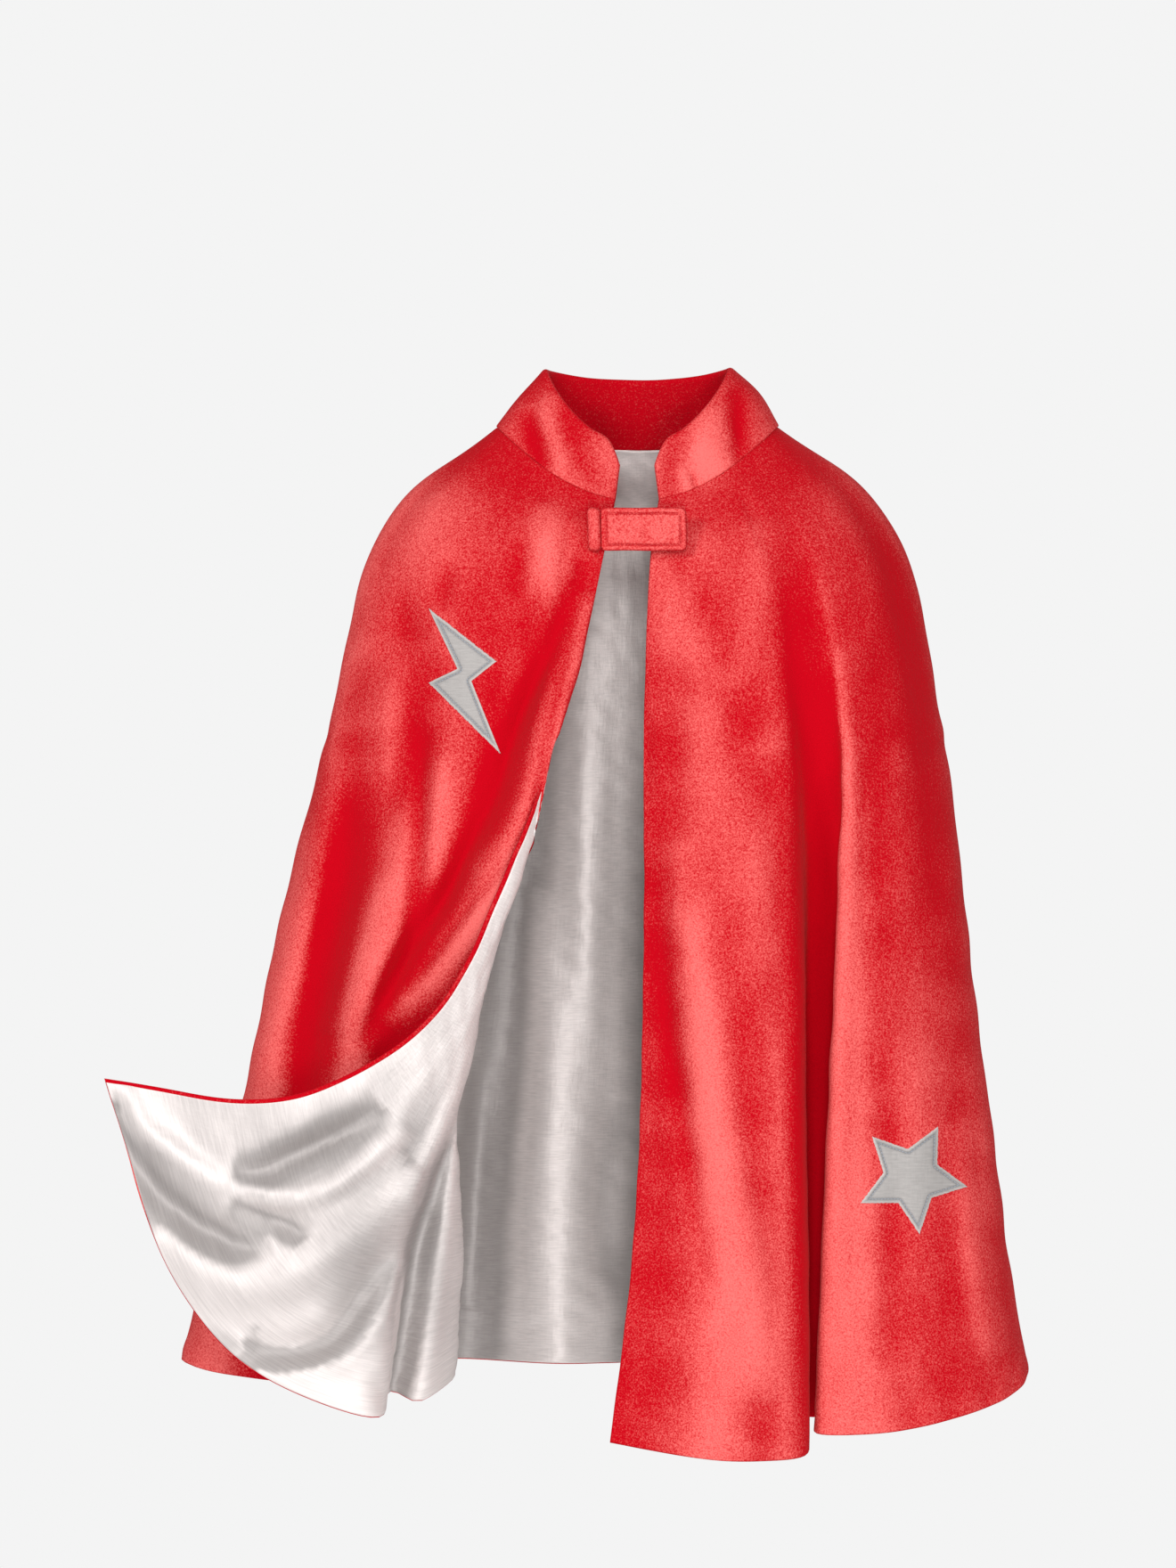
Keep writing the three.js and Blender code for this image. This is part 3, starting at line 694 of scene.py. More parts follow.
def metallic_satin(name, colour, metal=0.3, roughness=0.55):
    """Satin woven with a metallic thread: a soft silver sheen, fine streaks along the weft and
    short crumples along the warp. Its colour is darkened as painted shade where its painted_light
    attribute is low."""
    shader = {"Metallic": metal, "Roughness": roughness}
    material, tree, principled = new_material(name, shader)
    at = add_node(tree, "ShaderNodeUVMap", {"uv_map": "cloth"}).outputs["UV"]
    layers = []
    for (wide, long), detail in ((WEFT_STREAK, 4.0), (CRUMPLE, 3.0)):
        scale = (per(wide), per(long), 1.0)
        stretched = add_node(tree, "ShaderNodeMapping", None, {"Vector": at, "Scale": scale})
        noise = add_node(
            tree, "ShaderNodeTexNoise", None,
            {"Vector": stretched.outputs[0], "Scale": 1.0, "Detail": detail, "Roughness": 0.6},
        )
        layers.append(noise.outputs["Fac"])
    streaks, crumples = layers
    ramp = add_node(tree, "ShaderNodeValToRGB", None, {"Fac": streaks})
    dark, light = ramp.color_ramp.elements
    dark.position, dark.color = 0.3, tuple(c * 0.8 for c in colour[:3]) + (1.0,)
    light.position, light.color = 0.7, colour
    # Painted shade: the satin's colour is multiplied down to half where its painted_light attribute
    # is low.
    painted_light = add_node(tree, "ShaderNodeAttribute", {"attribute_name": "painted_light"}).outputs["Fac"]
    painted_shade_factor = add_node(
        tree, "ShaderNodeMapRange", {"interpolation_type": "SMOOTHSTEP"},
        {"Value": painted_light, "From Min": -4.5 * MM, "From Max": 2.5 * MM, "To Min": 0.5, "To Max": 1.0},
    )
    painted_satin_shade = add_node(
        tree, "ShaderNodeMix", {"data_type": "RGBA", "blend_type": "MULTIPLY"},
        {0: 1.0, 6: ramp.outputs["Color"], 7: painted_shade_factor.outputs[0]},
    )
    tree.links.new(painted_satin_shade.outputs[2], principled.inputs["Base Color"])
    fine = add_node(
        tree, "ShaderNodeBump", None, {"Strength": 0.3, "Distance": 0.3 * MM, "Height": streaks}
    )
    coarse = add_node(
        tree, "ShaderNodeBump", None,
        {
            "Strength": 0.3,
            "Distance": 1.0 * MM,
            "Height": crumples,
            "Normal": fine.outputs["Normal"],
        },
    )
    tree.links.new(coarse.outputs["Normal"], principled.inputs["Normal"])
    return material


def raw_edged_satin(settings):
    """The lining's satin cut to a motif, its raw edge frayed whitish and its sewn band greyer."""
    material = metallic_satin("frayed_satin", settings.applique[:], 0.15, 0.65)
    tree = material.node_tree
    principled = tree.nodes["Principled BSDF"]
    colour = principled.inputs["Base Color"].links[0].from_socket
    edge = add_node(tree, "ShaderNodeAttribute", {"attribute_name": "edge"}).outputs["Fac"]
    share = add_node(
        tree, "ShaderNodeMath", {"operation": "DIVIDE", "use_clamp": True},
        {0: edge, 1: 8 * MM},
    )
    band = add_node(tree, "ShaderNodeValToRGB", None, {"Fac": share.outputs[0]})
    stops = band.color_ramp.elements
    stops[0].position, stops[0].color = 0.0, (1.5, 1.48, 1.46, 1)
    stops[1].position, stops[1].color = 0.6, (1, 1, 1, 1)
    for place, code in ((0.17, "FFFFFF"), (0.26, "E2E3E4"), (0.38, "CDD1D7"), (0.46, "F0F0F1")):
        stop = stops.new(place)
        stop.color = rgb(code)
    mixed = add_node(
        tree, "ShaderNodeMix", {"data_type": "RGBA", "blend_type": "MULTIPLY"},
        {0: 1.0, 6: colour, 7: band.outputs["Color"]},
    )
    tree.links.new(mixed.outputs[2], principled.inputs["Base Color"])
    return material


def plain_textile(name, code, scale):
    """A matt textile of one colour with a fine nap: polyester thread, nonwoven or tape."""
    material, tree, principled = new_material(
        name, {"Base Color": rgb(code), "Roughness": 0.75, "Sheen Weight": 0.2}
    )
    at = add_node(tree, "ShaderNodeTexCoord").outputs["Object"]
    nap = add_node(
        tree, "ShaderNodeTexNoise", None, {"Vector": at, "Scale": scale, "Detail": 2.0}
    )
    bump = add_node(
        tree, "ShaderNodeBump", None,
        {"Strength": 0.5, "Distance": 0.2 * MM, "Height": nap.outputs["Fac"]},
    )
    tree.links.new(bump.outputs["Normal"], principled.inputs["Normal"])
    return material


def finish_of(name, settings):
    """The material of that name, made once."""
    if name in bpy.data.materials:
        return bpy.data.materials[name]
    makers = {
        "plush_velour": lambda: plush_velour(settings),
        "metallic_satin": lambda: metallic_satin("metallic_satin", settings.satin[:]),
        "frayed_satin": lambda: raw_edged_satin(settings),
        "felted_nonwoven": lambda: plain_textile("felted_nonwoven", "D9D6D2", 900.0),
        "hook_tape": lambda: plain_textile("hook_tape", "B81822", 1400.0),
        "loop_tape": lambda: plain_textile("loop_tape", "B01620", 700.0),
        "red_polyester_thread": lambda: plain_textile("red_polyester_thread", "B8101C", 3000.0),
        "grey_polyester_thread": lambda: plain_textile("grey_polyester_thread", "A3AAB4", 3000.0),
    }
    return makers[name]()


# ---- Settings ----


class CapeSettings(bpy.types.PropertyGroup):
    """Sizes and colours of the cape's cloth."""

    pile: bpy.props.FloatProperty(
        name="Pile", description="Height of the velour over the middle of the cloth",
        default=1.7 * MM, unit="LENGTH",
    )
    turning: bpy.props.FloatProperty(
        name="Turning", description="Width of velour that shows inside along the front edges",
        default=3.0 * MM, unit="LENGTH",
    )
    # The velour's colour runs from velour_deep to velour_light after random pile marks and painted
    # light: painted shade leans to velour_deep, painted highlight to velour_light.
    velour_deep: bpy.props.FloatVectorProperty(
        name="Velour, deep", description="Pile that points at the eye",
        subtype="COLOR", size=4, default=rgb("BC0014"),
    )
    velour_light: bpy.props.FloatVectorProperty(
        name="Velour, light", description="Pile that lies over",
        subtype="COLOR", size=4, default=rgb("F4706C"),
    )
    collar_pile: bpy.props.FloatProperty(
        name="Collar pile", description="Height of the velour over the collar's middle",
        default=2.5 * MM, unit="LENGTH",
    )
    collar_seat: bpy.props.FloatProperty(
        name="Collar seat", description="Depth of the collar's base that is sewn into the neck",
        default=1.8 * MM, unit="LENGTH",
    )
    satin: bpy.props.FloatVectorProperty(
        name="Satin", description="Colour of the lining", subtype="COLOR", size=4,
        default=rgb("EBE2DF"),
    )
    applique: bpy.props.FloatVectorProperty(
        name="Applique", description="Colour of the motifs' satin", subtype="COLOR", size=4,
        default=rgb("BAB5B2"),
    )


DRAPE = {}


def drape():
    """The survey of the cape's cloth, made once."""
    if not DRAPE:
        DRAPE["cape"] = Drape()
    return DRAPE["cape"]


PANELS = {
    "right": {"free": "near", "nodes": ("right_yoke", "right_skirt"), "body": "right_front"},
    "back": {"free": None, "nodes": ("back",), "body": None},
    "left": {"free": "far", "nodes": ("left_yoke", "left_skirt"), "body": "left_front"},
}
FREE_EDGE = np.array([0, 0.15, 0.4, 0.8, 1.3, 1.9, 2.5, 3.0, 3.6, 4.4, 5.5]) * MM
FRONT_TUCK, HEM_TUCK = 6, 2  # lines of FREE_EDGE where the lining starts at a front and a hem
SEAM_EDGE = np.array([0, 0.3, 0.8, 1.5, 2.5]) * MM


def panel_grid(name):
    """A panel's points with fine lines along its edges."""
    side = PANELS[name]["free"]
    near = FREE_EDGE if side == "near" else SEAM_EDGE
    far = FREE_EDGE if side == "far" else SEAM_EDGE
    spacing = FINE * 1
    grid = respaced(drape().panel(name), 1, near, far, spacing)
    return respaced(grid, 0, SEAM_EDGE, FREE_EDGE, spacing)


def tucked(name, grid):
    """The part of a panel's grid that its lining covers."""
    columns = {"near": slice(FRONT_TUCK, None), "far": slice(None, -FRONT_TUCK)}
    return grid[:-HEM_TUCK, columns.get(PANELS[name]["free"], slice(None))]


def panel_edges(name, grid):
    """Distances from a panel's free edges (front and hem), side seams and neck."""
    near, far, neck, hem = np.moveaxis(grid[..., 11:15], -1, 0)
    side = PANELS[name]["free"]
    front = {"near": near, "far": far, None: np.full_like(near, 1.0)}[side]
    seam = {"near": far, "far": near, None: np.minimum(near, far)}[side]
    return np.minimum(front, hem), front, hem, seam, neck


def hang(obj, name, layer):
    """Hides a panel's CAD nodes and puts the back's piece on the cape's body; a front's piece only
    has its transform baked.
    """
    facts = PANELS[name]
    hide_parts(*[f"{layer}_{node}" for node in facts["nodes"]])
    if facts["body"]:
        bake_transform(obj)
    else:
        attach(obj, "cape_body")


def declare_sheet(grid):
    """Works out the width, length and area of a sheet's cloth before it was gathered in folds, and
    keeps none of them.
    """
    points = grid[..., :3]
    width = float(lengths(points, 1)[:, -1].max())
    length = float(lengths(points, 0)[-1].max())
    across, down = np.diff(points, axis=1)[:-1], np.diff(points, axis=0)[:, :-1]
    area = float(np.linalg.norm(np.cross(across, down), axis=2).sum())
    area = min(max(area, 0.31 * width * length), width * length)


class CAPE_OT_shell(bpy.types.Operator):
    """Makes the velour shell: back, right front and left front, turned in along their edges"""

    bl_idname = "cape.shell"
    bl_label = "Shell"

    def execute(self, context):
        settings = context.scene.cape
        for name in PANELS:
            grid = panel_grid(name)
            free, front, hem, seam, neck = panel_edges(name, grid)
            points, normals, flat = grid[..., :3], grid[..., 3:6], grid[..., 6:8]
            edge = 1.8 * MM
            shape = round_edge(front, edge) * round_edge(hem, edge)
            shape *= round_edge(seam, 1.5 * MM, 0.5) * round_edge(neck, 2.2 * MM, 0.3)
            outer = 0.04 * MM + settings.pile * shape * grid[..., 9]
            turned = 1 - smoothstep(front, settings.turning, settings.turning + 0.7 * MM)
            turned = np.maximum(turned, 1 - smoothstep(hem, 0.5 * MM, 1.0 * MM))
            back = 1.2 * MM * round_edge(front, edge) * round_edge(hem, edge)
            inner = -0.04 * MM - back * turned * grid[..., 10] + 0.1 * MM * (1 - turned)
            slope = normals[..., 0]
            # Painted light: the drape's fold highlights and hollow shade, the painted strokes, and
            # painted shade on surfaces that face +x, with a faint painted highlight on those that
            # face -x.
            painted_light = grid[..., 8] + stroke_shading(points, normals)
            painted_light += MM * np.where(slope > 0, -2.6 * slope, -0.6 * slope)
            obj = cloth_object(
                f"cape_shell_{name}",
                points + normals * outer[..., None],
                points + normals * inner[..., None],
                finish_of("plush_velour", settings),
                flat,
                marks={"painted_light": painted_light},
            )
            hang(obj, name, "shell")
            declare_sheet(grid)
        return {"FINISHED"}


class CAPE_OT_lining(bpy.types.Operator):
    """Makes the satin lining, tucked under the shell's turned edges"""

    bl_idname = "cape.lining"
    bl_label = "Lining"

    def execute(self, context):
        settings = context.scene.cape
        for name in PANELS:
            grid = tucked(name, panel_grid(name))
            _, front, hem, seam, neck = panel_edges(name, grid)
            free = np.minimum(front - FREE_EDGE[FRONT_TUCK], hem - FREE_EDGE[HEM_TUCK])
            points, normals, flat = grid[..., :3], grid[..., 3:6], grid[..., 6:8]
            crumple = 0.35 * MM * np.clip(ripples(flat[..., 0], flat[..., 1], 0.02, 12, 21), -1, 1)
            height = 0.95 * MM * round_edge(free, 1.4 * MM) + 0.1 * MM
            height += crumple * smoothstep(free, 2 * MM, 12 * MM)
            if name == "back":
                height += 0.9 * MM * np.exp(-(((neck - 1.6 * MM) / (1.3 * MM)) ** 2))
            height *= round_edge(seam, 1.2 * MM, 0.5) * grid[..., 10]
            # The lining's painted_light is painted shade: darker in the satin's hollows and over
            # the listed places of painted lining shade.
            obj = cloth_object(
                f"cape_lining_{name}",
                points - normals * 0.06 * MM,
                points - normals * (0.12 * MM + height[..., None]),
                finish_of("metallic_satin", settings),
                flat,
                marks={"painted_light": -grid[..., 8] - painted_satin_shade(points, normals)},
            )
            hang(obj, name, "lining")
            declare_sheet(grid)
        return {"FINISHED"}


# ---- Collar ----

COLLAR_FOLDS = (
    # (x, z) of points along the fold, width and height, all in mm
    (((-64, 40), (-65, 22), (-59, 2), (-55, -22)), 6.0, 1.9),
    (((-80, 26), (-76, 6), (-70, -14), (-66, -24)), 7.0, -2.2),
    (((-45, -4), (-36, -18), (-27, -32)), 9.0, -1.2),
    (((69, 44), (72, 22), (74, 0), (72, -14)), 6.5, -2.2),
    (((56, 30), (50, 8), (44, -12)), 9.0, 1.0),
    (((31, -14), (34, -24), (38, -36)), 3.5, 1.6),
    (((39, -18), (42, -26), (44, -33)), 3.5, -1.4),
)

COLLAR_BULGES = ((84, 36, 24, 5.5), (-80, 30, 22, 2.0))  # as BULGES


def collar_grid(settings):
    """The middle of the collar's cloth: points, normals and flat places, from its top edge down
    to the neck seam, with the distances from the front edges, top and base added."""
    knots = cloth_rows("collar_outer", "collar_interlining", True)
    knots = knots - normals_of(knots) * 0.75 * MM
    across, down = chords(knots, 1), chords(knots, 0)
    u = np.linspace(0, across[-1], round(across[-1] / DENSE) + 1)
    v = np.linspace(0, down[-1], round(down[-1] / DENSE) + 1)
    weights = spline_weights(down, v), spline_weights(across, u)
    points = np.einsum("ri,ijk,cj->rck", weights[0], knots, weights[1])
    seam = points[-1] - points[-2]
    seam /= np.linalg.norm(seam, axis=1, keepdims=True)
    points = np.concatenate([points, points[-1:] + seam * settings.collar_seat])
    v = np.append(v, down[-1] + settings.collar_seat)
    u, v = np.meshgrid(u, v)
    normals = normals_of(points)
    front = smoothstep(-normals[..., 1], -0.2, 0.2)
    height = 0.5 * MM * ripples(u, v * 0.5, 0.05, 9, 14)
    for path, width, depth in COLLAR_FOLDS:
        height = height + depth * MM * crease(points, path, width) * front
    # Painted light on the collar: paler on its raised folds (painted highlight), deeper in its
    # creases (painted shade), plus the painted strokes.
    painted_light = height * 2 + 1 * MM + stroke_shading(points, normals)
    for x, z, radius, out in COLLAR_BULGES:
        far = np.hypot(points[..., 0] / MM - x, points[..., 2] / MM - z) / radius
        height = height + out * MM * np.exp(-(far**2))
    points = points + normals * height[..., None]
    flat = np.stack([u, v, painted_light], axis=-1)
    grid = np.concatenate([points, normals_of(points), flat], axis=-1)
    spacing = FINE * 0.7 * 1
    rim = np.array([0, 0.1, 0.35, 0.8, 1.4, 2.1, 2.9, 3.8, 5.0]) * MM
    return respaced(respaced(grid, 1, rim, rim, spacing), 0, rim, SEAM_EDGE, spacing)


class CAPE_OT_collar(bpy.types.Operator):
    """Makes the stand collar: velour outside and inside over a stiff interlining"""

    bl_idname = "cape.collar"
    bl_label = "Collar"

    def execute(self, context):
        settings = context.scene.cape
        grid = collar_grid(settings)
        points, normals, flat = grid[..., :3], grid[..., 3:6], grid[..., 6:8]
        near, far, top, base = np.moveaxis(grid[..., 9:13], -1, 0)
        free = np.minimum(np.minimum(near, far), top)
        radius = 3.6 * MM
        shape = round_edge(near, radius) * round_edge(far, radius) * round_edge(top, radius)
        shape *= round_edge(base, 1.6 * MM, 0.55)
        inside = 0.04 * MM + 0.2 * MM * smoothstep(free, 3 * MM, 4 * MM)
        for name, side in (("collar_outer", 1), ("collar_inner", -1)):
            skins = [
                points + normals * side * (0.05 * MM + settings.collar_pile * shape)[..., None],
                points + normals * side * inside[..., None],
            ]
            if side < 0:
                skins.reverse()
            velour = finish_of("plush_velour", settings)
            # Painted shade: the collar's inner face is coloured deeper all over.
            painted_light = grid[..., 8] if side > 0 else np.full_like(free, -2.5 * MM)
            obj = cloth_object(f"cape_{name}", *skins, velour, flat, marks={"painted_light": painted_light})
            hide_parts(name)
            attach(obj, "cape_body")
            declare_sheet(grid)
        stiff = grid[6:-2, 8:-8]
        obj = cloth_object(
            "cape_collar_interlining",
            stiff[..., :3] + stiff[..., 3:6] * 0.15 * MM,
            stiff[..., :3] - stiff[..., 3:6] * 0.15 * MM,
            finish_of("felted_nonwoven", settings),
            stiff[..., 6:8],
        )
        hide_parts("collar_interlining")
        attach(obj, "cape_body")
        declare_sheet(stiff)
        return {"FINISHED"}


# ---- Patches: the throat tab, its fastener and the appliques ----


def rounded_rectangle(low, high, radius, step=0.7):
    """Corners of a rounded rectangle's outline, anticlockwise from the front, in mm."""
    half = (np.array(high) - low) / 2
    middle = (np.array(high) + low) / 2
    outline = []
    for quarter in range(4):
        turn = np.radians(np.linspace(0, 90, round(radius * 1.6 / step) + 2) + quarter * 90)
        sign = np.array([(1, 1), (-1, 1), (-1, -1), (1, -1)][quarter])
        centre = middle + sign * (half - radius)
        outline.extend(centre + radius * np.stack([np.cos(turn), np.sin(turn)], axis=-1))
    return walked(np.array(outline), step)


def walked(corners, step):
    """Points along a closed outline about a step apart, its corners among them, in mm."""
    points = []
    for a, b in zip(corners, np.roll(corners, -1, axis=0)):
        count = max(1, round(float(np.linalg.norm(b - a)) / step))
        points.extend(a + (b - a) * k / count for k in range(count))
    return np.array(points)


def inset(corners, distance):
    """A closed anticlockwise outline's corners moved in by a distance, in mm."""
    before, after = np.roll(corners, 1, axis=0), np.roll(corners, -1, axis=0)
    moved = []
    for a, b, c in zip(before, corners, after):
        one, two = (b - a) / np.linalg.norm(b - a), (c - b) / np.linalg.norm(c - b)
        inward = np.array([-one[1], one[0]]) + np.array([-two[1], two[0]])
        share = 1 + one @ two
        moved.append(b + distance * inward / share)
    return np.array(moved)


def patch_plan(outline, middle, rings):
    """A patch's grid of (x, z) from its outline in to its middle, and each point's distance from
    the outline, in mm."""
    ring = np.concatenate([outline, outline[:1]])
    share = np.linspace(1, 0, rings + 1) ** 0.85
    plan = middle + (ring - middle) * share[:, None, None]
    a, b = outline, np.roll(outline, -1, axis=0)
    away = np.full(plan.shape[:2], 1e9)
    for start, end in zip(a, b):
        along = end - start
        t = np.clip(((plan - start) @ along) / (along @ along), 0, 1)
        gap = np.linalg.norm(plan - start - t[..., None] * along, axis=-1)
        away = np.minimum(away, gap)
    return plan, away


def patch(name, plan, away, front, back, material, painted_light=2.0):
    """A closed patch from a plan in mm and the y of its front and back skins, in mm."""
    skins = []
    for y in (front, back):
        depth = np.broadcast_to(y, away.shape)
        skins.append(np.stack([plan[..., 0], depth, plan[..., 1]], axis=-1) * MM)
    marks = {"edge": away * MM, "painted_light": np.broadcast_to(painted_light, away.shape) * MM}
    return cloth_object(name, *skins, material, closed=True, marks=marks)


class Ground:
    """The front of a made piece, as a height over the picture plane, all in mm."""

    def __init__(self, name):
        bm = bmesh.new()
        bm.from_mesh(bpy.data.objects[name].data)
        self.tree = BVHTree.FromBMesh(bm)
        bm.free()

    def depth(self, plan):
        """The y of the piece's front at each (x, z)."""
        flat = plan.reshape(-1, 2)
        found = []
        for x, z in flat * MM:
            hit = self.tree.ray_cast(Vector((x, -1, z)), Vector((0, 1, 0)))[0]
            if hit is None:
                raise RuntimeError(f"nothing lies behind {x:.3f}, {z:.3f}")
            found.append(hit.y)
        return np.array(found).reshape(plan.shape[:-1]) / MM

    def smooth(self, plan, reach=1.5):
        """The y and the outward normal at each (x, z), evened out over a small reach."""
        right, left = self.depth(plan + (reach, 0)), self.depth(plan - (reach, 0))
        up, down = self.depth(plan + (0, reach)), self.depth(plan - (0, reach))
        slope = np.stack([(right - left), np.full_like(up, -2 * reach), (up - down)], axis=-1)
        normal = slope / np.linalg.norm(slope, axis=-1, keepdims=True)
        return self.depth(plan), normal


def seated(plan, depth, normal, height):
    """Points in metres at a height over a ground."""
    base = np.stack([plan[..., 0], depth, plan[..., 1]], axis=-1)
    return (base + normal * np.broadcast_to(height, depth.shape)[..., None]) * MM


def stitch_row(name, places, normals, material, length, gap, thread):
    """A row of short stitches along a closed line of places, all in mm."""
    closed = np.concatenate([places, places[:1]])
    steps = np.linalg.norm(np.diff(closed, axis=0), axis=1)
    run = np.concatenate([[0], np.cumsum(steps)])
    count = round(run[-1] / (length + gap))
    centres = np.arange(count) * run[-1] / count
    ends = [(centres + side * length / 2) % run[-1] for side in (-1, 1)]
    heads, tails = ([np.interp(e, run, closed[:, k]) for k in range(3)] for e in ends)
    facing = np.concatenate([normals, normals[:1]])
    up = np.stack([np.interp(centres, run, facing[:, k]) for k in range(3)], axis=-1)
    bm = bmesh.new()
    for head, tail, normal in zip(np.transpose(heads), np.transpose(tails), up):
        along = Vector(tail - head)
        turn = along.to_track_quat("X", "Z").to_matrix().to_4x4()
        middle = Vector((head + tail) / 2 * MM)
        size = Matrix.Diagonal((along.length / 2 * MM, thread / 2 * MM, thread / 2 * MM, 1))
        place = Matrix.Translation(middle) @ turn @ size
        bmesh.ops.create_uvsphere(bm, u_segments=8, v_segments=6, radius=1.0, matrix=place)
    for f in bm.faces:
        f.smooth = True
    mesh = bpy.data.meshes.new(name)
    bm.to_mesh(mesh)
    bm.free()
    return placed(name, mesh, material)


STRAP_LOW, STRAP_HIGH = (-26.6, -76.8), (36.0, -45.2)
FASTENER_LOW, FASTENER_HIGH = (16.6, -72.5), (33.0, -50.5)
ANCHOR_LOW, ANCHOR_HIGH = (-36.2, -77.0), (-27.0, -45.0)
CHANNEL = 4.2  # distance of the strap's sewn channel from its edge, in mm


def tab_relief(plan, away):
    """Height of the strap's velour in mm: a rolled rim, a sewn channel, a curly pad, a dimple."""
    x, z = plan[..., 0], plan[..., 1]
    relief = 2.0 * round_edge(away, 2.4)
    relief = relief * (0.45 + 0.55 * smoothstep(x, -23.8, -21.4))
    relief = relief - 1.25 * np.exp(-(((away - CHANNEL) / 0.75) ** 2))
    relief = relief + 0.35 * smoothstep(away, CHANNEL + 0.6, CHANNEL + 2.2)
    relief = relief - 0.9 * np.exp(-(((x - 6) / 2.6) ** 2 + ((z + 65) / 5.0) ** 2))
    relief = relief + 0.5 * np.exp(-(((x - 15) / 7) ** 2 + ((z + 62) / 7) ** 2))
    return relief + 0.16 * ripples(x * MM, z * MM, 0.006, 10, 5) * smoothstep(away, 0.5, 2)


def tab_pieces(settings):
    """The throat tab's strap: face, interlining, backing, topstitching and hook patch."""
    outline = rounded_rectangle(STRAP_LOW, STRAP_HIGH, 4.0)
    wavy = 0.25 * ripples(outline[:, 0] * MM, outline[:, 1] * MM, 0.03, 6, 9)[:, None]
    middle = (np.array(STRAP_LOW) + STRAP_HIGH) / 2
    away_from_middle = outline - middle
    outline = outline + wavy * away_from_middle / np.linalg.norm(
        away_from_middle, axis=1, keepdims=True
    )
    plan, away = patch_plan(outline, middle, 44)
    relief = tab_relief(plan, away)
    room = 0.3 * smoothstep(away, 2.5, 3.2)
    velour = finish_of("plush_velour", settings)
    # The face's painted_light follows its relief: painted highlight on the raised rim and pad,
    # painted shade in the sewn channel and the dimple.
    pieces = [
        (patch("cape_tab_face", plan, away, -75.9 - relief, -75.5 - room, velour, relief * 1.4),
         "velour"),
        (
            patch("cape_tab_backing", plan, away, -75.4 + room, -75.3 + 1.5 * round_edge(away, 2.0),
                  velour),
            "velour",
        ),
    ]
    plan, away = patch_plan(rounded_rectangle((-22.6, -73.4), (32.6, -48.6), 2.0), middle, 10)
    stiff = finish_of("felted_nonwoven", settings)
    pieces.append((patch("cape_tab_interlining", plan, away, -75.65, -75.2, stiff), "interlining"))
    line = walked(inset(outline, CHANNEL), 0.5)
    relief = tab_relief(line, np.full(len(line), CHANNEL))
    places = np.stack([line[:, 0], -75.9 - relief - 0.12, line[:, 1]], axis=-1)
    facing = np.tile((0.0, -1.0, 0.0), (len(line), 1))
    thread = finish_of("red_polyester_thread", settings)
    rows = stitch_row("cape_tab_topstitching", places, facing, thread, 2.3, 0.7, 0.42)
    pieces.append((rows, "red_thread"))
    plan, away = patch_plan(
        rounded_rectangle(FASTENER_LOW, FASTENER_HIGH, 1.5), np.array((24.8, -61.5)), 12
    )
    back = -73.75 + 1.1 * round_edge(away, 0.8)
    tape = finish_of("hook_tape", settings)
    pieces.append((patch("cape_tab_hook_patch", plan, away, -73.85, back, tape), "fastener_tape"))
    return pieces


class CAPE_OT_tab(bpy.types.Operator):
    """Makes the throat tab, the roll that anchors it and its hook-and-loop fastener"""

    bl_idname = "cape.tab"
    bl_label = "Throat tab"

    def execute(self, context):
        settings = context.scene.cape
        for obj, slot in tab_pieces(settings):
            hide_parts(obj.name.removeprefix("cape_"))
            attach(obj, "tab")
        left, right = Ground("cape_shell_left"), Ground("cape_shell_right")

        outline = rounded_rectangle(FASTENER_LOW, FASTENER_HIGH, 1.5)
        plan, away = patch_plan(outline, np.array((24.8, -61.5)), 12)
        depth, normal = left.smooth(plan)
        skins = (
            seated(plan, depth, normal, 0.1 + 0.9 * round_edge(away, 0.8)),
            seated(plan, depth, normal, 0.02),
        )
        tape = finish_of("loop_tape", settings)
        loop = cloth_object("cape_loop_patch", *skins, tape, closed=True, marks={"edge": away * MM})
        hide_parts("loop_patch")
        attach(loop, "cape_body")

        outline = rounded_rectangle(ANCHOR_LOW, ANCHOR_HIGH, 3.8)
        outline[:, 0] -= (outline[:, 1] + 61) * 0.03
        middle = (np.array(ANCHOR_LOW) + ANCHOR_HIGH) / 2
        plan, away = patch_plan(outline, middle, 16)
        bulge = 3.0 * round_edge(away, 4.4) + 0.15 * ripples(
            plan[..., 0] * MM, plan[..., 1] * MM, 0.008, 8, 31
        ) * smoothstep(away, 0.4, 2)
        foot = np.minimum(right.depth(plan * (0.96, 0.98)), -60) + 0.4
        obj = patch(
            "cape_tab_anchor", plan, away, -76.4 - bulge, foot, finish_of("plush_velour", settings)
        )
        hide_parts("tab_anchor")
        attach(obj, "cape_body")
        return {"FINISHED"}


STAR_MIDDLE, STAR_TIP, STAR_NOTCH, STAR_TURN = (200.0, -534.0), 42.0, 21.0, 62.0
BOLT_MIDDLE, BOLT_HALF = (-126.0, -172.0), (26.5, 53.5)
BOLT_SHAPE = ((-1, 1), (-0.2, 0.17), (-1, -0.02), (1, -1), (0.19, 0), (0.88, 0.27))
SEWN_IN = 3.0  # distance of an applique's stitches from its raw edge, in mm


def star_corners():
    """The star's ten corners, anticlockwise, in mm."""
    angles = np.radians(STAR_TURN + 36 * np.arange(10))
    reach = np.where(np.arange(10) % 2, STAR_NOTCH, STAR_TIP)[:, None]
    return np.array(STAR_MIDDLE) + reach * np.stack([np.cos(angles), np.sin(angles)], axis=-1)


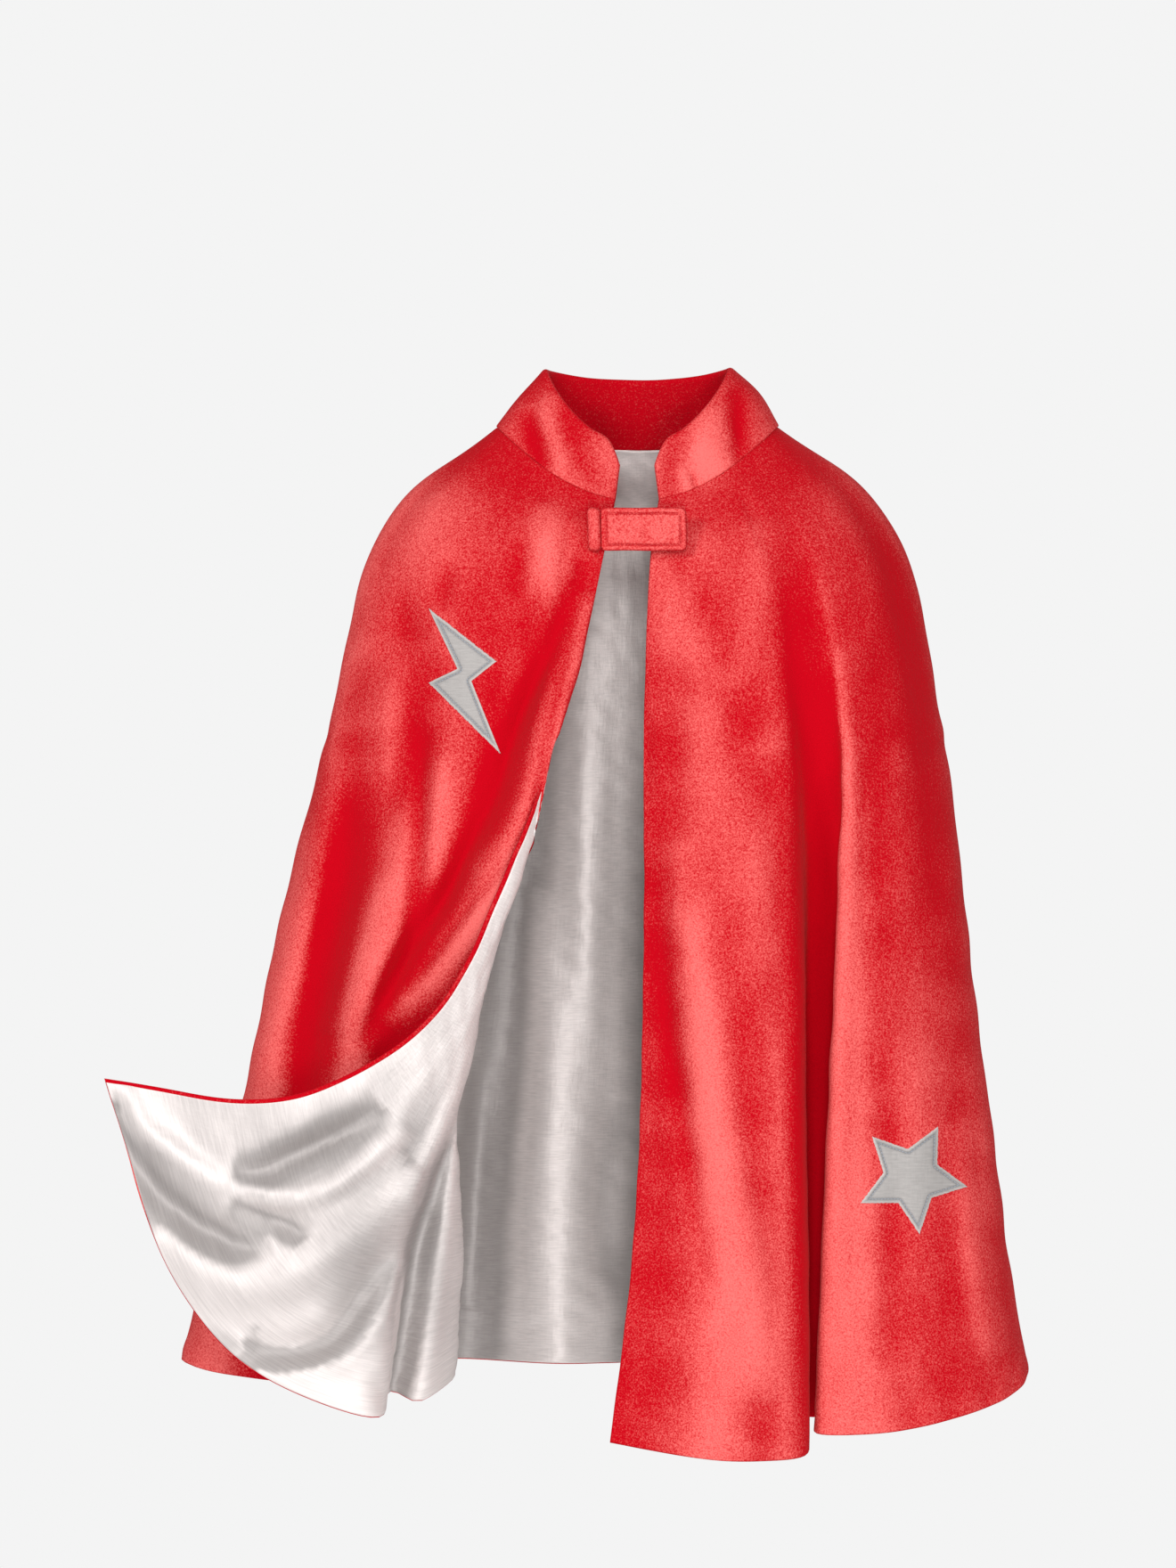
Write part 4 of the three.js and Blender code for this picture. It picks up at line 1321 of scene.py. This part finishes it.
class CAPE_OT_appliques(bpy.types.Operator):
    """Makes the satin bolt and star with raw edges, and the stitches that hold them"""

    bl_idname = "cape.appliques"
    bl_label = "Appliques"

    def execute(self, context):
        settings = context.scene.cape
        bolt = np.array(BOLT_MIDDLE) + np.array(BOLT_SHAPE) * BOLT_HALF
        shapes = (
            ("bolt", "right", bolt, np.array(BOLT_MIDDLE) + (0, 3.7)),
            ("star", "left", star_corners(), np.array(STAR_MIDDLE)),
        )
        for name, side, corners, middle in shapes:
            ground = Ground(f"cape_shell_{side}")
            outline = walked(corners, 0.6)
            rng = np.random.default_rng(len(outline))
            ragged = rng.uniform(0.985, 1.012, len(outline))[:, None]
            outline = middle + (outline - middle) * ragged
            plan, away = patch_plan(outline, middle, 44)
            depth, normal = ground.smooth(plan)
            height = 0.15 + 0.75 * round_edge(away, 0.7) - 0.35 * np.exp(
                -(((away - SEWN_IN) / 0.6) ** 2)
            )
            height = height + 0.25 * smoothstep(away, SEWN_IN, SEWN_IN + 3)
            skins = seated(plan, depth, normal, height), seated(plan, depth, normal, 0.0)
            satin = finish_of("frayed_satin", settings)
            obj = cloth_object(
                f"cape_{name}_applique", *skins, satin, closed=True, marks={"edge": away * MM}
            )
            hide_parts(f"{name}_applique")

            line = walked(inset(corners, SEWN_IN), 0.5)
            depth, normal = ground.smooth(line)
            places = seated(line, depth, normal, 0.75) / MM
            thread = finish_of("grey_polyester_thread", settings)
            rows = stitch_row(f"cape_{name}_stitching", places, normal, thread, 2.1, 0.4, 0.5)
            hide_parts(f"{name}_stitching")
            for piece in (obj, rows):
                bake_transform(piece)
            width, length = np.ptp(corners, axis=0) * MM
            rim = np.roll(corners, -1, axis=0)
            area = abs(float(np.sum(corners[:, 0] * rim[:, 1] - corners[:, 1] * rim[:, 0]))) / 2
            area = max(area * MM * MM, 0.31 * width * length)
        return {"FINISHED"}


# ---- Stage ----

CAMERA_AT = Vector((-0.036, -10.0, -0.247))
PICTURE_PLANE = -0.08  # where the picture's height is measured
PICTURE_HEIGHT = 1.144
LIT_POINT = Vector((0, 0, -0.35))
LIGHTS = (
    # name, place and size in metres, power in watts
    ("key", (-2.4, -2.2, 1.3), 0.9, 46),
    ("upper_front", (-0.1, -4.4, 0.95), 1.0, 66),
    ("lower_front", (0.1, -4.4, -1.1), 0.8, 49),
    ("fill", (1.8, -2.8, -0.2), 1.8, 28),
    ("rim", (0.8, 2.2, 1.3), 1.4, 26),
)
AMBIENT, BACKDROP = 0.36, "F4F4F4"
FLOOR_RADIUS, FLOOR_LEVEL = 1.6, -1.3


class CAPE_OT_stage(bpy.types.Operator):
    """Makes the pale floor, the soft studio light and the camera"""

    bl_idname = "cape.stage"
    bl_label = "Stage"

    def execute(self, context):
        scene = context.scene
        scene.view_settings.view_transform = "Standard"
        bm = bmesh.new()
        bmesh.ops.create_circle(bm, cap_ends=True, segments=96, radius=FLOOR_RADIUS)
        bmesh.ops.translate(bm, verts=bm.verts, vec=(0, 0, FLOOR_LEVEL))
        mesh = bpy.data.meshes.new("floor")
        bm.to_mesh(mesh)
        bm.free()
        pale, _, _ = new_material("pale_floor", {"Base Color": rgb("F1F1F1"), "Roughness": 0.9})
        placed("floor", mesh, pale)

        world = bpy.data.worlds.new("studio")
        scene.world = world
        world.use_nodes = True
        tree = world.node_tree
        tree.nodes.clear()
        ray = add_node(tree, "ShaderNodeLightPath").outputs["Is Camera Ray"]
        fill, seen = (
            add_node(tree, "ShaderNodeBackground", None, {"Color": colour, "Strength": strength})
            for colour, strength in (((1, 1, 1, 1), AMBIENT), (rgb(BACKDROP), 1.0))
        )
        mixed = add_node(
            tree, "ShaderNodeMixShader", None, {0: ray, 1: fill.outputs[0], 2: seen.outputs[0]}
        )
        output = add_node(tree, "ShaderNodeOutputWorld")
        tree.links.new(mixed.outputs[0], output.inputs["Surface"])

        for name, place, size, power in LIGHTS:
            light = bpy.data.lights.new(name, "AREA")
            light.energy, light.size = power, size
            obj = bpy.data.objects.new(name, light)
            obj.location = place
            toward = LIT_POINT - obj.location
            obj.rotation_euler = toward.to_track_quat("-Z", "Y").to_euler()
            scene.collection.objects.link(obj)

        camera = bpy.data.cameras.new("camera")
        camera.sensor_width = 36
        distance = PICTURE_PLANE - CAMERA_AT.y
        camera.lens = camera.sensor_width / 2 / (PICTURE_HEIGHT / 2 / distance)
        obj = bpy.data.objects.new("camera", camera)
        obj.location = CAMERA_AT
        obj.rotation_euler = (math.pi / 2, 0, 0)
        scene.collection.objects.link(obj)
        scene.camera = obj
        return {"FINISHED"}


class CAPE_PT_panel(bpy.types.Panel):
    """Lists the cape's sizes, colours and making steps"""

    bl_idname = "CAPE_PT_panel"
    bl_label = "Cape"
    bl_space_type = "VIEW_3D"
    bl_region_type = "UI"
    bl_category = "Cape"

    def draw(self, context):
        for key in context.scene.cape.__annotations__:
            self.layout.prop(context.scene.cape, key)
        for operator in STEPS:
            self.layout.operator(operator.bl_idname)


STEPS = (
    CAPE_OT_shell,
    CAPE_OT_lining,
    CAPE_OT_collar,
    CAPE_OT_tab,
    CAPE_OT_appliques,
    CAPE_OT_stage,
)
CLASSES = (CapeSettings, *STEPS, CAPE_PT_panel)


def register():
    for cls in CLASSES:
        bpy.utils.register_class(cls)
    bpy.types.Scene.cape = bpy.props.PointerProperty(type=CapeSettings)


def unregister():
    del bpy.types.Scene.cape
    for cls in reversed(CLASSES):
        bpy.utils.unregister_class(cls)


def main():
    register()
    bpy.ops.cape.shell()
    bpy.ops.cape.lining()
    bpy.ops.cape.collar()
    bpy.ops.cape.tab()
    bpy.ops.cape.appliques()
    bpy.ops.cape.stage()


if __name__ == "__main__":
    main()
